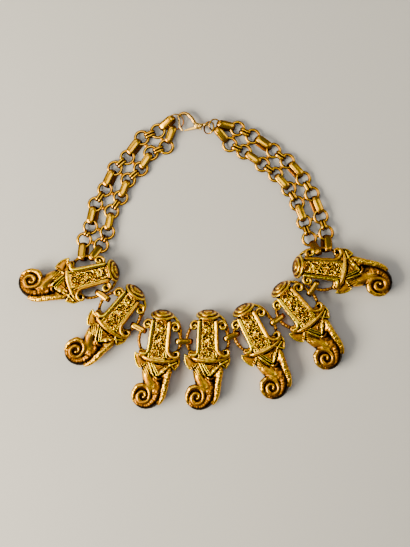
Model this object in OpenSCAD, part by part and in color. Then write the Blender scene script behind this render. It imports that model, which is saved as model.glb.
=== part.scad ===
// Necklace of seven cast scroll pendants on a double chain of flat rings, lying flat.
// Millimetres. +X is to the wearer's left when worn, +Y runs towards the clasp and +Z is up.
// The origin is on the surface that it lies on, under the middle of the whole necklace.

/* [Pendant casting] */
// Radius of the round stepped cap
cap_r = 7.1; // [6.5:0.1:7.6]
// How far the cap leans up towards the front
cap_tilt = 18; // [14:1:20]
// Half width of the console body at its top
body_half_w = 5.4; // [5:0.1:5.8]
// Thickness of the console body
body_t = 9.8; // [9:0.1:10.5]
// Radius of the upper volutes
upper_volute_r = 2.9; // [2.6:0.1:3.2]
// Radius of the lower volutes
lower_volute_r = 2.3; // [2:0.1:2.6]
// Reach of a side handle from the middle of the body
handle_reach = 13; // [12.6:0.1:13.2]
// Radius of the wire of a side handle
handle_wire_r = 0.75; // [0.7:0.05:0.8]
// Thickness of the trunk's curl
curl_t = 7.6; // [6.5:0.1:8]
// Radius of the curl where it starts
curl_start_r = 9.4; // [9:0.1:9.6]
// Radius of the curl where it ends
curl_end_r = 1.4; // [1.2:0.1:2]

/* [Chain] */
// Outer diameter of one ring of a twin ring
ring_od = 9.9; // [9.6:0.1:10]
// Wire diameter of a twin ring
ring_wire = 1.3; // [1.1:0.1:1.4]
// Distance between the centres of a twin ring's two rings
twin_pitch = 11; // [10.8:0.1:11.2]
// Length of a wide link
wide_l = 12.2; // [12:0.1:12.3]
// Height of a wide link
wide_h = 4.8; // [4.6:0.1:5]
// Width of a wide link at its middle
wide_w = 4.4; // [3.8:0.1:4.5]
// Length of a connector link between two pendants
connector_l = 11.2; // [10.8:0.1:11.4]
// Width of a connector link at its middle
connector_w = 2.8; // [2.4:0.1:3]
// Length of a small double ring
small_l = 7.0; // [6.9:0.1:7.1]
// Height of a small double ring
small_h = 4.4; // [4.3:0.1:4.6]
// Width of a small double ring
small_w = 2.8; // [2.4:0.1:2.9]

/* [Clasp] */
// Thickness of the clasp's body
clasp_t = 3.2; // [3:0.1:3.4]
// Thickness of the clasp's hook
hook_t = 1.4; // [1.2:0.1:1.6]
// Width of the hook's wire
hook_w = 1.3; // [1.1:0.1:1.5]
// Thickness of the lever
lever_t = 1.2; // [1:0.1:1.3]
// Length of the lever from its pin to its tip
lever_l = 9.3; // [9:0.1:9.4]
// Radius of the pivot pin
pin_r = 0.55; // [0.5:0.05:0.6]

/* [Hidden] */
$fn = 48;
SIDES = ["left", "right"];
STRANDS = ["outer", "inner"];
PENDANT_COUNT = 7;
TWINS = 8;
SPANS = 5;

// Height of the pendants' long axis, which is also the height of their side handles
axis_z = cap_r + 0.05;
handle_r = 11.8;
ring_r = (ring_od - ring_wire) / 2;
// Height of the rings' wire where the chain lies flat
ring_z = 1.95;
wide_band = 0.9;
small_band = 1.1;

// Where each pendant lies: the middle of its body, its turn from hanging straight down in the
// picture plane, and its roll about its own long axis
//            x      y    turn  roll
PENDANTS = [[-72.5,  -9.9,  -75.5,  0],
            [-53.3, -31.6,  -38,    4],
            [-28.5, -49.0,   -6,   -2],
            [  1.2, -49.0,    0,    0],
            [ 30.4, -44.0,   28,   -3],
            [ 56.4, -29.1,   41,   -2],
            [ 72.5,  -5.0,   85,    4]];

// Where each connector link crosses the right handle of one pendant and the left handle of the
// next, in degrees from the middle of the handle's arc towards the cap, and how far the link
// has slid along itself
//             first  next  slide
CONNECTORS = [[  22,    8,   0],
              [  -5,   27,   0],
              [   3,   -4,   0],
              [   8,   22,   0],
              [   0,   12,   0.8],
              [  10,   25,   1.0]];

// Where each twin ring lies: the middle between its rings, the direction from the inner strand
// to the outer one, and how far it is lifted
//              x      y   turn  lift
TWINS_LEFT = [[-27.4,  76.1, 118, 0],
              [-37.2,  72.0, 121, 0],
              [-44.9,  61.0, 139, 0],
              [-52.7,  54.1, 138, 0],
              [-58.1,  42.1, 152, 0],
              [-63.9,  33.1, 156, 0],
              [-66.7,  19.7, 163, 0.4],
              [-70.3,  11.4, 163, 3.1]];
TWINS_RIGHT = [[17.2,  77.6,  64, 0],
               [26.4,  72.9,  61, 0],
               [38.6,  64.5,  51, 0],
               [47.0,  58.1,  49, 0],
               [56.1,  48.1,  35, 0],
               [61.4,  38.9,  32, 0],
               [66.3,  26.0,  18, 0.55],
               [69.5,  15.6,  19, 1.5]];

// Where the last wide link of each strand crosses the handle of the end pendant, outer then
// inner, and how far the link has slid along itself
HANDLE_LEFT = [-2, 27.5];
HANDLE_RIGHT = [-5.5, 26];
HANDLE_SLIDE_LEFT = [-0.1, -0.55];
HANDLE_SLIDE_RIGHT = [-0.45, 1.0];

// Round rings at the clasp: centre, direction of the level diameter, lean from lying flat,
// radius of the wire's middle line and radius of the wire
//              x      y     z   turn  lean  ring  wire
CATCH_RING = [-18.85, 86.67, 3.2, 188.8, -20, 4.73, 0.35];
TAIL_RING  = [  1.82, 82.88, 4.18, 78.1, -40, 3.79, 0.35];
END_RING   = [  5.39, 84.47, 4.73, 52.4, 27.6, 3.6, 0.45];

// Where the first wide link of each strand holds the clasp's rings, in degrees round the ring,
// and how far the link has slid along itself
CATCH_AT = [-3.6, 59];
END_AT = [310.7, 248];
CATCH_SLIDE = [-1.31, 0.16];
END_SLIDE = [0.2, 0.09];

// Middle line of the clasp's hook, from the shoulder round to its open end
//        x      y
HOOK = [[ -6.6,  84.4], [-7.4, 86.6], [-8.9, 88.9], [-11, 91], [-13.3, 92],
        [-15.5, 91.6], [-17.28, 90.1], [-16.6, 88], [-16.64, 85.6], [-16.25, 83.3], [-14.9, 81.6]];
PIVOT = [-4.7, 83.7];
LEVER_TURN = 195.6;
TAIL_EYE = [-0.3, 84.9];
clasp_z = 3.13;
tail_eye_z = 2.3;

function on_axis(turn) = [cos(turn), sin(turn), 0];

// A place on a pendant, given across, along and above its long axis
function on_pendant(row, place) =
    let (across = place[0] * cos(row[3]) + place[2] * sin(row[3]),
         above = place[2] * cos(row[3]) - place[0] * sin(row[3]))
    [row[0] + across * cos(row[2]) - place[1] * sin(row[2]),
     row[1] + across * sin(row[2]) + place[1] * cos(row[2]),
     axis_z + above];

// A place on the middle line of a side handle: side is -1 on the left and 1 on the right
function on_handle(row, side, at) =
    on_pendant(row, [side * (handle_reach - handle_r + handle_r * cos(at)), handle_r * sin(at), 0]);

// Centre of one ring of a twin ring: strand 0 is the outer one and 1 the inner one
function ring_centre(row, strand) =
    [row[0], row[1], ring_z + row[3]] + (strand == 0 ? 0.5 : -0.5) * twin_pitch * on_axis(row[2]);

// The place on a flat ring's wire that faces another place
function ring_towards(centre, place) =
    let (way = [place[0] - centre[0], place[1] - centre[1], 0])
    centre + ring_r * way / norm(way);

// A place on the wire of a leaning ring, counted round from its level diameter
function on_ring(row, at) =
    let (flat = [row[5] * cos(at), row[5] * sin(at) * cos(row[4])])
    [row[0] + flat[0] * cos(row[3]) - flat[1] * sin(row[3]),
     row[1] + flat[0] * sin(row[3]) + flat[1] * cos(row[3]),
     row[2] + row[5] * sin(at) * sin(row[4])];

function stations(side) = side == 0 ? TWINS_LEFT : TWINS_RIGHT;

// The two ends of a wide link's pull: spans run from the clasp to the end pendant
function span_ends(side, strand, span) =
    let (rows = stations(side),
         above = span > 0 ? ring_centre(rows[2 * span - 1], strand)
                          : on_ring(side == 0 ? CATCH_RING : END_RING,
                                    (side == 0 ? CATCH_AT : END_AT)[strand]),
         below = span < SPANS - 1 ? ring_centre(rows[2 * span], strand)
                 : on_handle(PENDANTS[side == 0 ? 0 : 6], side == 0 ? -1 : 1,
                             (side == 0 ? HANDLE_LEFT : HANDLE_RIGHT)[strand]))
    [span > 0 ? ring_towards(above, below) : above,
     span < SPANS - 1 ? ring_towards(below, above) : below];

// Outline of an oval with straight sides and round ends
function oval(length, height) =
    [for (end = [1, -1], step = [-4 : 4])
        let (at = step * 22.5 + (end > 0 ? 0 : 180))
        [end * (length - height) / 2 + height / 2 * cos(at), height / 2 * sin(at)]];

// Radius of the trunk's curl, by the angle that it has turned
function curl_r(turned) = curl_start_r + (curl_end_r - curl_start_r) * turned / 690;

// A place on the curl's middle line, moved out by a distance
CURL_CENTRE = [-6, -35];
function curl_at(turned, out) =
    CURL_CENTRE + (curl_r(turned) + out) * [cos(-22 - turned), sin(-22 - turned)];

// A ribbon of even width along a line of points
function ribbon(line, half_w) =
    let (last = len(line) - 1,
         ways = [for (i = [0 : last])
                    let (way = line[min(i + 1, last)] - line[max(i - 1, 0)])
                    [-way[1], way[0]] / norm(way)])
    concat([for (i = [0 : last]) line[i] + half_w * ways[i]],
           [for (i = [last : -1 : 0]) line[i] - half_w * ways[i]]);

// A slab of an outline between two heights above a pendant's long axis
module slab(low, high, outline) {
    translate([0, 0, low]) linear_extrude(height = high - low) polygon(outline);
}

// A round bar between two places
module bar(from, to, r) {
    way = to - from;
    translate(from) rotate([0, acos(way[2] / norm(way)), atan2(way[1], way[0])])
        cylinder(r = r, h = norm(way));
}

// Stepped round cap that closes the top of the body
module cap() {
    translate([0, 15, 0]) rotate([cap_tilt - 90, 0, 0])
        rotate_extrude($fn = 64)
            polygon([[0, -3.6], [5.2, -3.6], [5.8, -1.2], [cap_r - 0.5, -0.3], [cap_r, 0.4],
                     [cap_r - 0.4, 1.1], [5.6, 1.3], [5.2, 2.2], [4.7, 2.6], [3.0, 2.7],
                     [2.6, 3.3], [2.0, 3.5], [0, 3.6]]);
}

// Console body with its raised front panel and the round bars beside it
module body() {
    top = 12.6;
    foot = -10.6;
    foot_half_w = body_half_w + 1.4;
    slab(-body_t / 2, body_t / 2,
         [[-body_half_w, top], [-foot_half_w, foot], [foot_half_w, foot], [body_half_w, top]]);
    slab(0, body_t / 2 + 0.9, [[-3.7, top - 0.3], [-4.7, foot], [4.7, foot], [3.7, top - 0.3]]);
    for (side = [-1, 1])
        bar([side * body_half_w, top - 0.6, body_t / 2 - 0.4],
            [side * (foot_half_w - 0.1), foot + 1.5, body_t / 2 - 0.4], 1.15);
}

// Volutes above and below each side handle, and the handle itself
module side_scrolls(side) {
    translate([side * 8.4, 9.4, -2.2]) cylinder(r = upper_volute_r, h = 7.5);
    translate([side * 8.4, 9.4, 4]) cylinder(r = 1.1, h = 1.9);
    translate([side * 10, -8.5, -2.5]) cylinder(r = lower_volute_r, h = 7.2);
    slab(-2.7, 4.5, [[side * 5.6, -5.4], [side * 7.7, -6.1], [side * 10, -7.0],
                     [side * 11, -10.2], [side * 5.6, -11]]);
    reach = handle_reach - handle_r;
    translate([side * reach, 0, 0])
        rotate_extrude(start = side > 0 ? -47 : 133, angle = 94, $fn = 96)
            translate([handle_r, 0]) circle(r = handle_wire_r, $fn = 24);
}

// Ribbon that crosses the foot of the body and smiles up at its ends
module band() {
    slab(-4.3, 5.9, ribbon([for (step = [-6 : 6])
                               let (x = step * 13.6 / 6) [x, -12.4 + 3.7 * pow(x / 13.6, 2)]],
                           0.95));
}

// Leaf-shaped flap beside the head
module ear(side) {
    slab(-2.9, 3.3, [[side * 6.2, -10.7], [side * 13.9, -8.9], [side * 13.6, -12.4],
                     [side * 12.2, -15.6], [side * 10.4, -18.2], [side * 6.2, -14.8]]);
}

// Head that narrows into the trunk, with its raised shield and cheeks
module head() {
    slab(-6.1, 1.9, [[-7.4, -11.9], [9.5, -12.4], [9.3, -16], [8.2, -21], [7.6, -26],
                     [7.1, -31], [6.1, -35], [4.2, -38], [-2, -37], [-8.3, -26.6],
                     [-8.2, -24.4], [-9.2, -20.5], [-9.6, -18.4], [-6.6, -14.6]]);
    slab(1, 4.7, [[-3.9, -12.5], [7.6, -12.5], [1.7, -21.8]]);
    slab(1.2, 3.7, ribbon([[-5.9, -13.2], [-4.4, -18], [-1.6, -23.4]], 1.7));
    slab(1.1, 3.1, ribbon([[8, -13.4], [7, -19.5], [6.3, -26], [5.6, -31.4]], 1.5));
}

// Curled end of the trunk, with the raised ridge that winds to its centre
module curl() {
    slab(-6.3, curl_t - 6.3,
         concat([for (turned = [0 : 12 : 240]) curl_at(turned, 0.4)], [[-3, -31], [3.5, -33]]));
    slab(0.4, curl_t - 4.9,
         ribbon(concat([[5.2, -32.5], [4.6, -35.6]],
                       [for (turned = [8 : 15 : 683]) curl_at(turned, -0.5)]), 0.75));
}

// One casting, about the middle of its long axis
module casting() {
    cap();
    body();
    for (side = [-1, 1]) {
        side_scrolls(side);
        ear(side);
    }
    band();
    head();
    curl();
}

module pendant(index) {
    row = PENDANTS[index];
    color("goldenrod")
        translate([row[0], row[1], axis_z]) rotate([0, 0, row[2]]) rotate([0, row[3], 0])
            casting();
}

// A closed oval link in its own upright plane: two round ribs beside a groove, narrow at its ends
module grooved_link(length, height, width, end_width, band_t, groove) {
    rib = (width - groove) / 2;
    intersection() {
        difference() {
            union() {
                rotate([90, 0, 0]) linear_extrude(height = width - 0.2, center = true)
                    polygon(oval(length - 0.7, height - 0.7));
                for (side = [-1, 1])
                    translate([0, side * (groove + rib) / 2, 0])
                        rotate([90, 0, 0]) linear_extrude(height = rib, center = true)
                            polygon(oval(length, height));
            }
            rotate([90, 0, 0]) linear_extrude(height = width + 1, center = true)
                polygon(oval(length - 2 * band_t, height - 2 * band_t));
        }
        linear_extrude(height = height + 1, center = true)
            polygon([for (way = [1, -1])
                each [[way * length / 2 + way * 0.1, -way * end_width / 2],
                      [way * length / 2 + way * 0.1, way * end_width / 2],
                      [way * length / 4, way * width / 2 + way * 0.02],
                      [-way * length / 4, way * width / 2 + way * 0.02]]]);
    }
}

// Puts a link between the two wires that it holds, and keeps it above the surface
module between(ends, length, height, slide) {
    way = ends[1] - ends[0];
    pitch = asin(way[2] / norm(way));
    middle = (ends[0] + ends[1]) / 2 + slide * way / norm(way);
    lowest = height / 2 + (length - height) / 2 * abs(sin(pitch));
    translate([middle[0], middle[1], max(middle[2], lowest)])
        rotate([0, -pitch, atan2(way[1], way[0])])
            children();
}

module wide_link(side, strand, span) {
    color("gold")
        between(span_ends(side, strand, span), wide_l, wide_h,
                span == 0 ? (side == 0 ? CATCH_SLIDE : END_SLIDE)[strand]
                : span == SPANS - 1 ? (side == 0 ? HANDLE_SLIDE_LEFT : HANDLE_SLIDE_RIGHT)[strand]
                : 0)
            grooved_link(wide_l, wide_h, wide_w - (span == 0 || span == SPANS - 1 ? 0.4 : 0), 1.8,
                         wide_band, 1);
}

module connector(index) {
    row = CONNECTORS[index];
    color("gold")
        between([on_handle(PENDANTS[index], 1, row[0]), on_handle(PENDANTS[index + 1], -1, row[1])],
                connector_l, wide_h, row[2])
            grooved_link(connector_l, wide_h, connector_w, 2.2, wide_band, 0.8);
}

// Two flat rings with the solder neck that joins them
module twin_ring(side, index) {
    row = stations(side)[index];
    gap = twin_pitch - ring_od;
    color("khaki")
        translate([row[0], row[1], ring_z + row[3]]) rotate([0, 0, row[2]]) {
            for (way = [-1, 1])
                translate([way * twin_pitch / 2, 0, 0])
                    rotate_extrude($fn = 64) translate([ring_r, 0]) rotate(22.5)
                        circle(r = ring_wire / 2, $fn = 8);
            cube([gap + 1.1, 1.9, 1.0], center = true);
        }
}

// The small double rings of two neighbouring clusters: first is the upper cluster's index
module small_rings(side, first) {
    rows = stations(side);
    color("darkkhaki")
        for (cluster = [first, first + 1], strand = [0, 1]) {
            above = ring_centre(rows[2 * cluster], strand);
            below = ring_centre(rows[2 * cluster + 1], strand);
            between([ring_towards(above, below), ring_towards(below, above)], small_l, small_h, 0)
                grooved_link(small_l, small_h, small_w, small_w - 0.4, small_band, 0.3);
        }
}

// A round ring of one wire, or of two wires side by side
module round_ring(row, wires) {
    r = row[6];
    color("khaki")
        translate([row[0], row[1], row[2]]) rotate([row[4], 0, row[3]])
            rotate_extrude($fn = 64) translate([row[5], 0]) {
                for (wire = [1 : wires])
                    translate([0, (2 * wire - 1 - wires) * 0.85 * r]) circle(r = r, $fn = 12);
                if (wires > 1) square([1.2 * r, 1.7 * r], center = true);
            }
}

// Hook, forked body and tail eye of the clasp
module clasp_body() {
    slot = lever_t + 0.4;
    color("gold")
        difference() {
            union() {
                translate([0, 0, clasp_z - hook_t / 2])
                    linear_extrude(height = hook_t) polygon(ribbon(HOOK, hook_w / 2));
                translate([0, 0, clasp_z - clasp_t / 2])
                    linear_extrude(height = clasp_t)
                        polygon([[-7.7, 84.3], [-7.6, 86.4], [-5.4, 86.6], [-2.2, 86.0],
                                 [-1.6, 85.7], [-1.6, 84.2], [-2.2, 83.2], [-3.6, 82.0],
                                 [-5.8, 81.9], [-7.2, 82.8]]);
                translate([TAIL_EYE[0], TAIL_EYE[1], tail_eye_z]) rotate([90, 0, 0])
                    cylinder(r = 2.2, h = 1.4, center = true);
            }
            translate([PIVOT[0], PIVOT[1], clasp_z - slot / 2])
                linear_extrude(height = slot)
                    polygon([[1.2, 1.6], [-1.7, 1.6], [-3.7, 2.1], [-8, 2.9], [-9, 0], [-6, -5],
                             [3.4, -5], [3.4, -0.8], [1.9, 0.2]]);
            translate([PIVOT[0], PIVOT[1], 0]) cylinder(r = pin_r + 0.05, h = 10);
            translate([TAIL_EYE[0], TAIL_EYE[1], tail_eye_z]) rotate([90, 0, 0])
                cylinder(r = 1.4, h = 4, center = true);
        }
}

module clasp_pin() {
    color("darkgoldenrod")
        translate([PIVOT[0], PIVOT[1], clasp_z - clasp_t / 2 + 0.1])
            cylinder(r = pin_r, h = clasp_t + 0.1);
}

// Sprung lever that closes the hook
module clasp_lever() {
    color("darkgoldenrod")
        translate([PIVOT[0], PIVOT[1], clasp_z - lever_t / 2]) rotate([0, 0, LEVER_TURN])
            difference() {
                union() {
                    cylinder(r = 1.4, h = lever_t);
                    linear_extrude(height = lever_t)
                        polygon([[0, -1], [lever_l - 1, -0.55], [lever_l, -0.2],
                                 [lever_l, 0.6], [-0.6, 1.35]]);
                    linear_extrude(height = lever_t)
                        polygon([[-0.4, 0.8], [-1.6, 1.2], [-1.6, 2.6], [-0.4, 2.5], [0.9, 1.1]]);
                }
                translate([0, 0, -1]) cylinder(r = pin_r + 0.15, h = lever_t + 2);
            }
}

// Shift that puts the middle of the overall box over the origin
MIDDLE = [0.383, 0.186, 0];

translate(MIDDLE) {
    for (i = [1 : PENDANT_COUNT])
        pendant(i - 1);
    for (i = [1 : PENDANT_COUNT - 1])
        connector(i - 1);
    for (side = [0, 1], strand = [0, 1], span = [1 : SPANS])
        wide_link(side, strand, span - 1);
    for (side = [0, 1], i = [1 : TWINS])
        twin_ring(side, i - 1);
    for (side = [0, 1]) {
        small_rings(side, 0);
        small_rings(side, 2);
    }
    round_ring(CATCH_RING, 1);  // catch_ring
    round_ring(TAIL_RING, 2);  // tail_ring
    round_ring(END_RING, 1);  // end_ring
    clasp_body();
    clasp_lever();
    clasp_pin();
}
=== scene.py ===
"""Necklace of seven cast scroll pendants on a double chain of flat rings, lying on a pale table."""

import logging
import math
from dataclasses import dataclass, field
from enum import Enum
from typing import Callable, Optional, Sequence

import bpy
import numpy as np
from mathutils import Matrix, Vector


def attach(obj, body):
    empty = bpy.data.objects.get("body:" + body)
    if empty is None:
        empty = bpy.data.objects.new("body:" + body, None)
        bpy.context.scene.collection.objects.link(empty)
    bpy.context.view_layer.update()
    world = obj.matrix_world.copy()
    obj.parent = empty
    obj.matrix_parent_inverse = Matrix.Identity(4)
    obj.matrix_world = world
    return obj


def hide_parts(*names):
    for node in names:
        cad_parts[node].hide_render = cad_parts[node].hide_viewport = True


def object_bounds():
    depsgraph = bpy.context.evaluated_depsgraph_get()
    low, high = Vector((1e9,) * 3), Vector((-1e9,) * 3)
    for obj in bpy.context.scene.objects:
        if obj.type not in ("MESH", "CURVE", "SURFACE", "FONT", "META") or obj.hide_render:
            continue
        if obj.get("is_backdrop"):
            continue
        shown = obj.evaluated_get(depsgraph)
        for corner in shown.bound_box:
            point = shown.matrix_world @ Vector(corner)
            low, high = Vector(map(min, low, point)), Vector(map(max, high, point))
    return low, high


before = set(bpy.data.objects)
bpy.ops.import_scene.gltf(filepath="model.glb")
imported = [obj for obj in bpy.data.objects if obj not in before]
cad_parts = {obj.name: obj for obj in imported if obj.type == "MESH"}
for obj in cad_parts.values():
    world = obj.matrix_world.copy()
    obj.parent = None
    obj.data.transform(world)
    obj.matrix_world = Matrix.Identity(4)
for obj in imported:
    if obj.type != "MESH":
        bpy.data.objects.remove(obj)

import openvdb
from mathutils import Vector

log = logging.getLogger("necklace")

# Millimetres to metres
MM = 0.001
# Distance that the grid holds where there is no wax near, in millimetres
FAR = 6.0
# Reaches at which wax in front of a surface shuts it in, in millimetres, each with its weight
SHUT_IN = ((0.45, 0.22), (0.9, 0.28), (1.8, 0.28), (3.2, 0.22))
# Reach behind a surface at which missing wax makes it a worn edge, in millimetres
EDGE_REACH = 0.7
# How far a link's front band leans when it has slipped by a millimetre, in radians
SLIP_ROLL = math.radians(7)
# Shift of the whole necklace that puts the middle of its box over the origin, in millimetres
MIDDLE = np.array([0.383, 0.186, 0.0])

Row = Sequence[float]
Rows = Sequence[Row]
Pattern = Callable[[np.ndarray, np.ndarray, np.ndarray], np.ndarray]


class Body(str, Enum):
    """The bodies that pieces ride on."""

    NECKLACE = "necklace"
    LEVER = "lever"


class Slot(str, Enum):
    """The record's material slots."""

    CASTING = "antique_gold_casting"
    CHAIN = "gold_chain"
    CLASP = "gold_clasp"


class Strand(Enum):
    """The two strands of a side chain, by the side of the solder neck that they lie on."""

    OUTER = 0.5
    INNER = -0.5


def linear(code: str) -> tuple[float, float, float, float]:
    """Turns an sRGB hex colour to linear light.

    Args:
        code: Six hex digits after a hash.

    Returns:
        Red, green, blue and an alpha of one.
    """
    parts = [int(code[i:i + 2], 16) / 255 for i in (1, 3, 5)]
    light = [p / 12.92 if p <= 0.04045 else ((p + 0.055) / 1.055) ** 2.4 for p in parts]
    return (light[0], light[1], light[2], 1.0)


def add_node(tree: bpy.types.NodeTree, kind: str, inputs: Optional[dict] = None,
             **settings: object) -> bpy.types.Node:
    """Adds a node with its settings, and fills or links its inputs.

    Args:
        tree: The node tree that it goes into.
        kind: The node's type name.
        inputs: Values, sockets, or nodes whose first output is meant, by the input's name or number.
        **settings: Properties of the node.

    Returns:
        The new node.
    """
    node = tree.nodes.new(kind)
    for key, value in settings.items():
        setattr(node, key, value)
    for key, value in (inputs or {}).items():
        if isinstance(value, bpy.types.Node):
            value = value.outputs[0]
        if isinstance(value, bpy.types.NodeSocket):
            tree.links.new(value, node.inputs[key])
        else:
            node.inputs[key].default_value = value
    return node


def math_node(tree: bpy.types.NodeTree, operation: str, *values: object) -> bpy.types.Node:
    """Adds one step of arithmetic."""
    return add_node(tree, "ShaderNodeMath", dict(enumerate(values)), operation=operation)


def vector_node(tree: bpy.types.NodeTree, operation: str, *values: object,
                **named: object) -> bpy.types.Node:
    """Adds one step of vector arithmetic."""
    return add_node(tree, "ShaderNodeVectorMath", {**dict(enumerate(values)), **named}, operation=operation)


@dataclass(frozen=True)
class GoldPlate:
    """Gold plate on cast or drawn brass, rubbed with a dark antiquing wash and wiped.

    The eye sees bright yellow where the wash was wiped off or a highlight is painted, a warmer orange
    where a thin coat of it stayed, and brown to near black in the recesses and under painted shade.

    Attributes:
        name: The material's name.
        bright: Colour of wiped high places and of painted highlights.
        body: Colour of the plate.
        warm: Colour under a thin coat of wash or light painted shade.
        brown: Colour under a thick coat of wash or deeper painted shade.
        black: Colour at the bottom of a hollow and under the deepest painted shade.
        wash: How much wash is left, from 0 to 1.
        smooth: Roughness of wiped metal.
        matt: Roughness of the wash.
        grain_mm: Size of the cast skin's grain, coarser than the real 0.05 mm so that it shows.
        grain: Strength of the grain's bump.
        flecks: How much the wash varies from place to place.
        clouds: How much it varies over wider stretches.
        fleck_mm: Size of the flecks.
        cloud_mm: Size of the wider stretches.
        bump_mm: Height of the grain.
        wash_and_shade_stops: Wash and painted shade, from 0 to 1, at the colours body, warm and brown.
    """

    name: str
    bright: str
    body: str
    warm: str
    brown: str
    black: str
    wash: float
    smooth: float
    matt: float
    grain_mm: float
    grain: float
    flecks: float
    clouds: float = 0.30
    fleck_mm: float = 1.1
    cloud_mm: float = 6.0
    bump_mm: float = 0.12
    wash_and_shade_stops: tuple[float, float, float] = (0.22, 0.42, 0.68)

    def material(self) -> bpy.types.Material:
        """Builds the material.

        Returns:
            The material, which reads each piece's attribute of wash and painted shade: 0 high, 1 deep.
        """
        made = bpy.data.materials.new(self.name)
        made.use_nodes = True
        tree = made.node_tree
        shader = tree.nodes["Principled BSDF"]
        place = add_node(tree, "ShaderNodeTexCoord").outputs["Object"]
        # Wash in hollows, with painted shade and painted highlights added, from each piece's attribute
        depth = add_node(tree, "ShaderNodeAttribute", attribute_name="wash_and_shade").outputs["Fac"]
        noises = ((self.cloud_mm, 3.0, 0.5), (self.fleck_mm, 4.0, 0.6), (self.grain_mm, 3.0, 0.55))
        cloud, fleck, grain = (
            add_node(tree, "ShaderNodeTexNoise",
                     {"Vector": place, "Scale": 1 / (size * MM), "Detail": detail, "Roughness": rough})
            for size, detail, rough in noises)
        drift = math_node(tree, "MULTIPLY_ADD", cloud, self.clouds,
                          math_node(tree, "MULTIPLY", fleck, self.flecks))
        # What clouds and flecks add on average, and more where less of the wash is left
        wiped = self.clouds / 2 + self.flecks / 2 + 0.25 * (1 - self.wash)
        # Darkness from wash and painted shade, shifted by clouds and flecks
        wash_and_shade_level = math_node(tree, "MULTIPLY_ADD", depth, 0.9 + 0.6 * self.wash,
                         math_node(tree, "SUBTRACT", drift, wiped))
        ramp = add_node(tree, "ShaderNodeValToRGB", {"Fac": wash_and_shade_level})
        stops = ramp.color_ramp.elements
        stops[0].position, stops[0].color = 0.0, linear(self.bright)
        stops[1].position, stops[1].color = 1.0, linear(self.black)
        for at, code in zip(self.wash_and_shade_stops, (self.body, self.warm, self.brown)):
            stops.new(at).color = linear(code)
        rough = add_node(tree, "ShaderNodeMapRange", {"Value": wash_and_shade_level, "From Min": 0.0, "From Max": 0.8,
                                                      "To Min": self.smooth, "To Max": self.matt})
        bump = add_node(tree, "ShaderNodeBump",
                        {"Height": grain, "Strength": self.grain, "Distance": self.bump_mm * MM})
        for name, node in (("Base Color", ramp), ("Roughness", rough), ("Normal", bump)):
            tree.links.new(node.outputs[0], shader.inputs[name])
        shader.inputs["Metallic"].default_value = 1.0
        return made


# Deep yellow on the worn high places and painted highlights, brown to near black wash in every hollow
# of the castings, and painted shade on their sides that face down and on the trunk
CASTING_GOLD = GoldPlate(
    "antique_gold_plate_on_cast_brass", "#ffd600", "#f0ae00", "#b27200", "#553000", "#0d0601",
    wash=0.9, smooth=0.22, matt=0.5, grain_mm=0.55, grain=0.35, flecks=0.42)
# The same gold on smooth wire: clear highlights and even colour, brown in the grooves and on the inner
# sides of the loops, and painted shade on sides that face down and where link ends wrap round wires
CHAIN_GOLD = GoldPlate(
    "gold_plate_on_drawn_brass", "#ffd000", "#e69e00", "#b06600", "#502600", "#100701",
    wash=0.8, smooth=0.17, matt=0.42, grain_mm=0.8, grain=0.03, flecks=0.06)
# A paler gold on the clasp: small clear highlights outside, brown inside its fork and holes, and
# painted shade on its sides that face down
CLASP_GOLD = GoldPlate(
    "pale_gold_plate_on_cast_zinc", "#f4c052", "#cb8c2c", "#845014", "#42260a", "#120a03",
    wash=0.75, smooth=0.16, matt=0.42, grain_mm=0.8, grain=0.08, flecks=0.12)


def smooth_line(line: Rows, per: int, closed: bool = False) -> np.ndarray:
    """Rounds a line of points into a smooth one that goes through all of them.

    Args:
        line: Points of any number of columns.
        per: Points made for each given one.
        closed: True where the line runs back to its start.

    Returns:
        The smooth line.
    """
    points = np.array(line, float)
    count = len(points)
    made = []
    for i in range(count if closed else count - 1):
        a, b, c, d = (points[(i + k) % count if closed else min(max(i + k, 0), count - 1)]
                      for k in (-1, 0, 1, 2))
        for j in range(per):
            t = j / per
            made.append(0.5 * (2 * b + (c - a) * t + (2 * a - 5 * b + 4 * c - d) * t ** 2
                               + (3 * b - 3 * c + d - a) * t ** 3))
    if not closed:
        made.append(points[-1])
    return np.array(made)


def outline_distance(outline: np.ndarray, x: np.ndarray, y: np.ndarray) -> np.ndarray:
    """Distance in the plane to a closed outline, below nought inside it.

    Args:
        outline: Corners of the outline.
        x: First coordinates of the places asked for.
        y: Second coordinates.

    Returns:
        The signed distance at each place.
    """
    shape = np.broadcast(x, y).shape
    nearest = np.full(shape, 1e6)
    inside = np.zeros(shape, bool)
    for (ax, ay), (bx, by) in zip(outline, np.roll(outline, -1, 0)):
        ex, ey = bx - ax, by - ay
        along = np.clip(((x - ax) * ex + (y - ay) * ey) / max(ex * ex + ey * ey, 1e-12), 0, 1)
        nearest = np.minimum(nearest, (x - ax - along * ex) ** 2 + (y - ay - along * ey) ** 2)
        crossing = ax + (y - ay) * ex / (ey if abs(ey) > 1e-9 else 1e-9)
        inside ^= ((ay <= y) != (by <= y)) & (x < crossing)
    distance = np.sqrt(nearest)
    return np.where(inside, -distance, distance)


def line_distance(points: np.ndarray, line: Rows) -> np.ndarray:
    """Distance in the plane from each point to a smooth line through some places."""
    drawn = smooth_line(line, 6)
    return np.sqrt(((points[:, None, :2] - drawn[None]) ** 2).sum(2).min(1))


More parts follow.
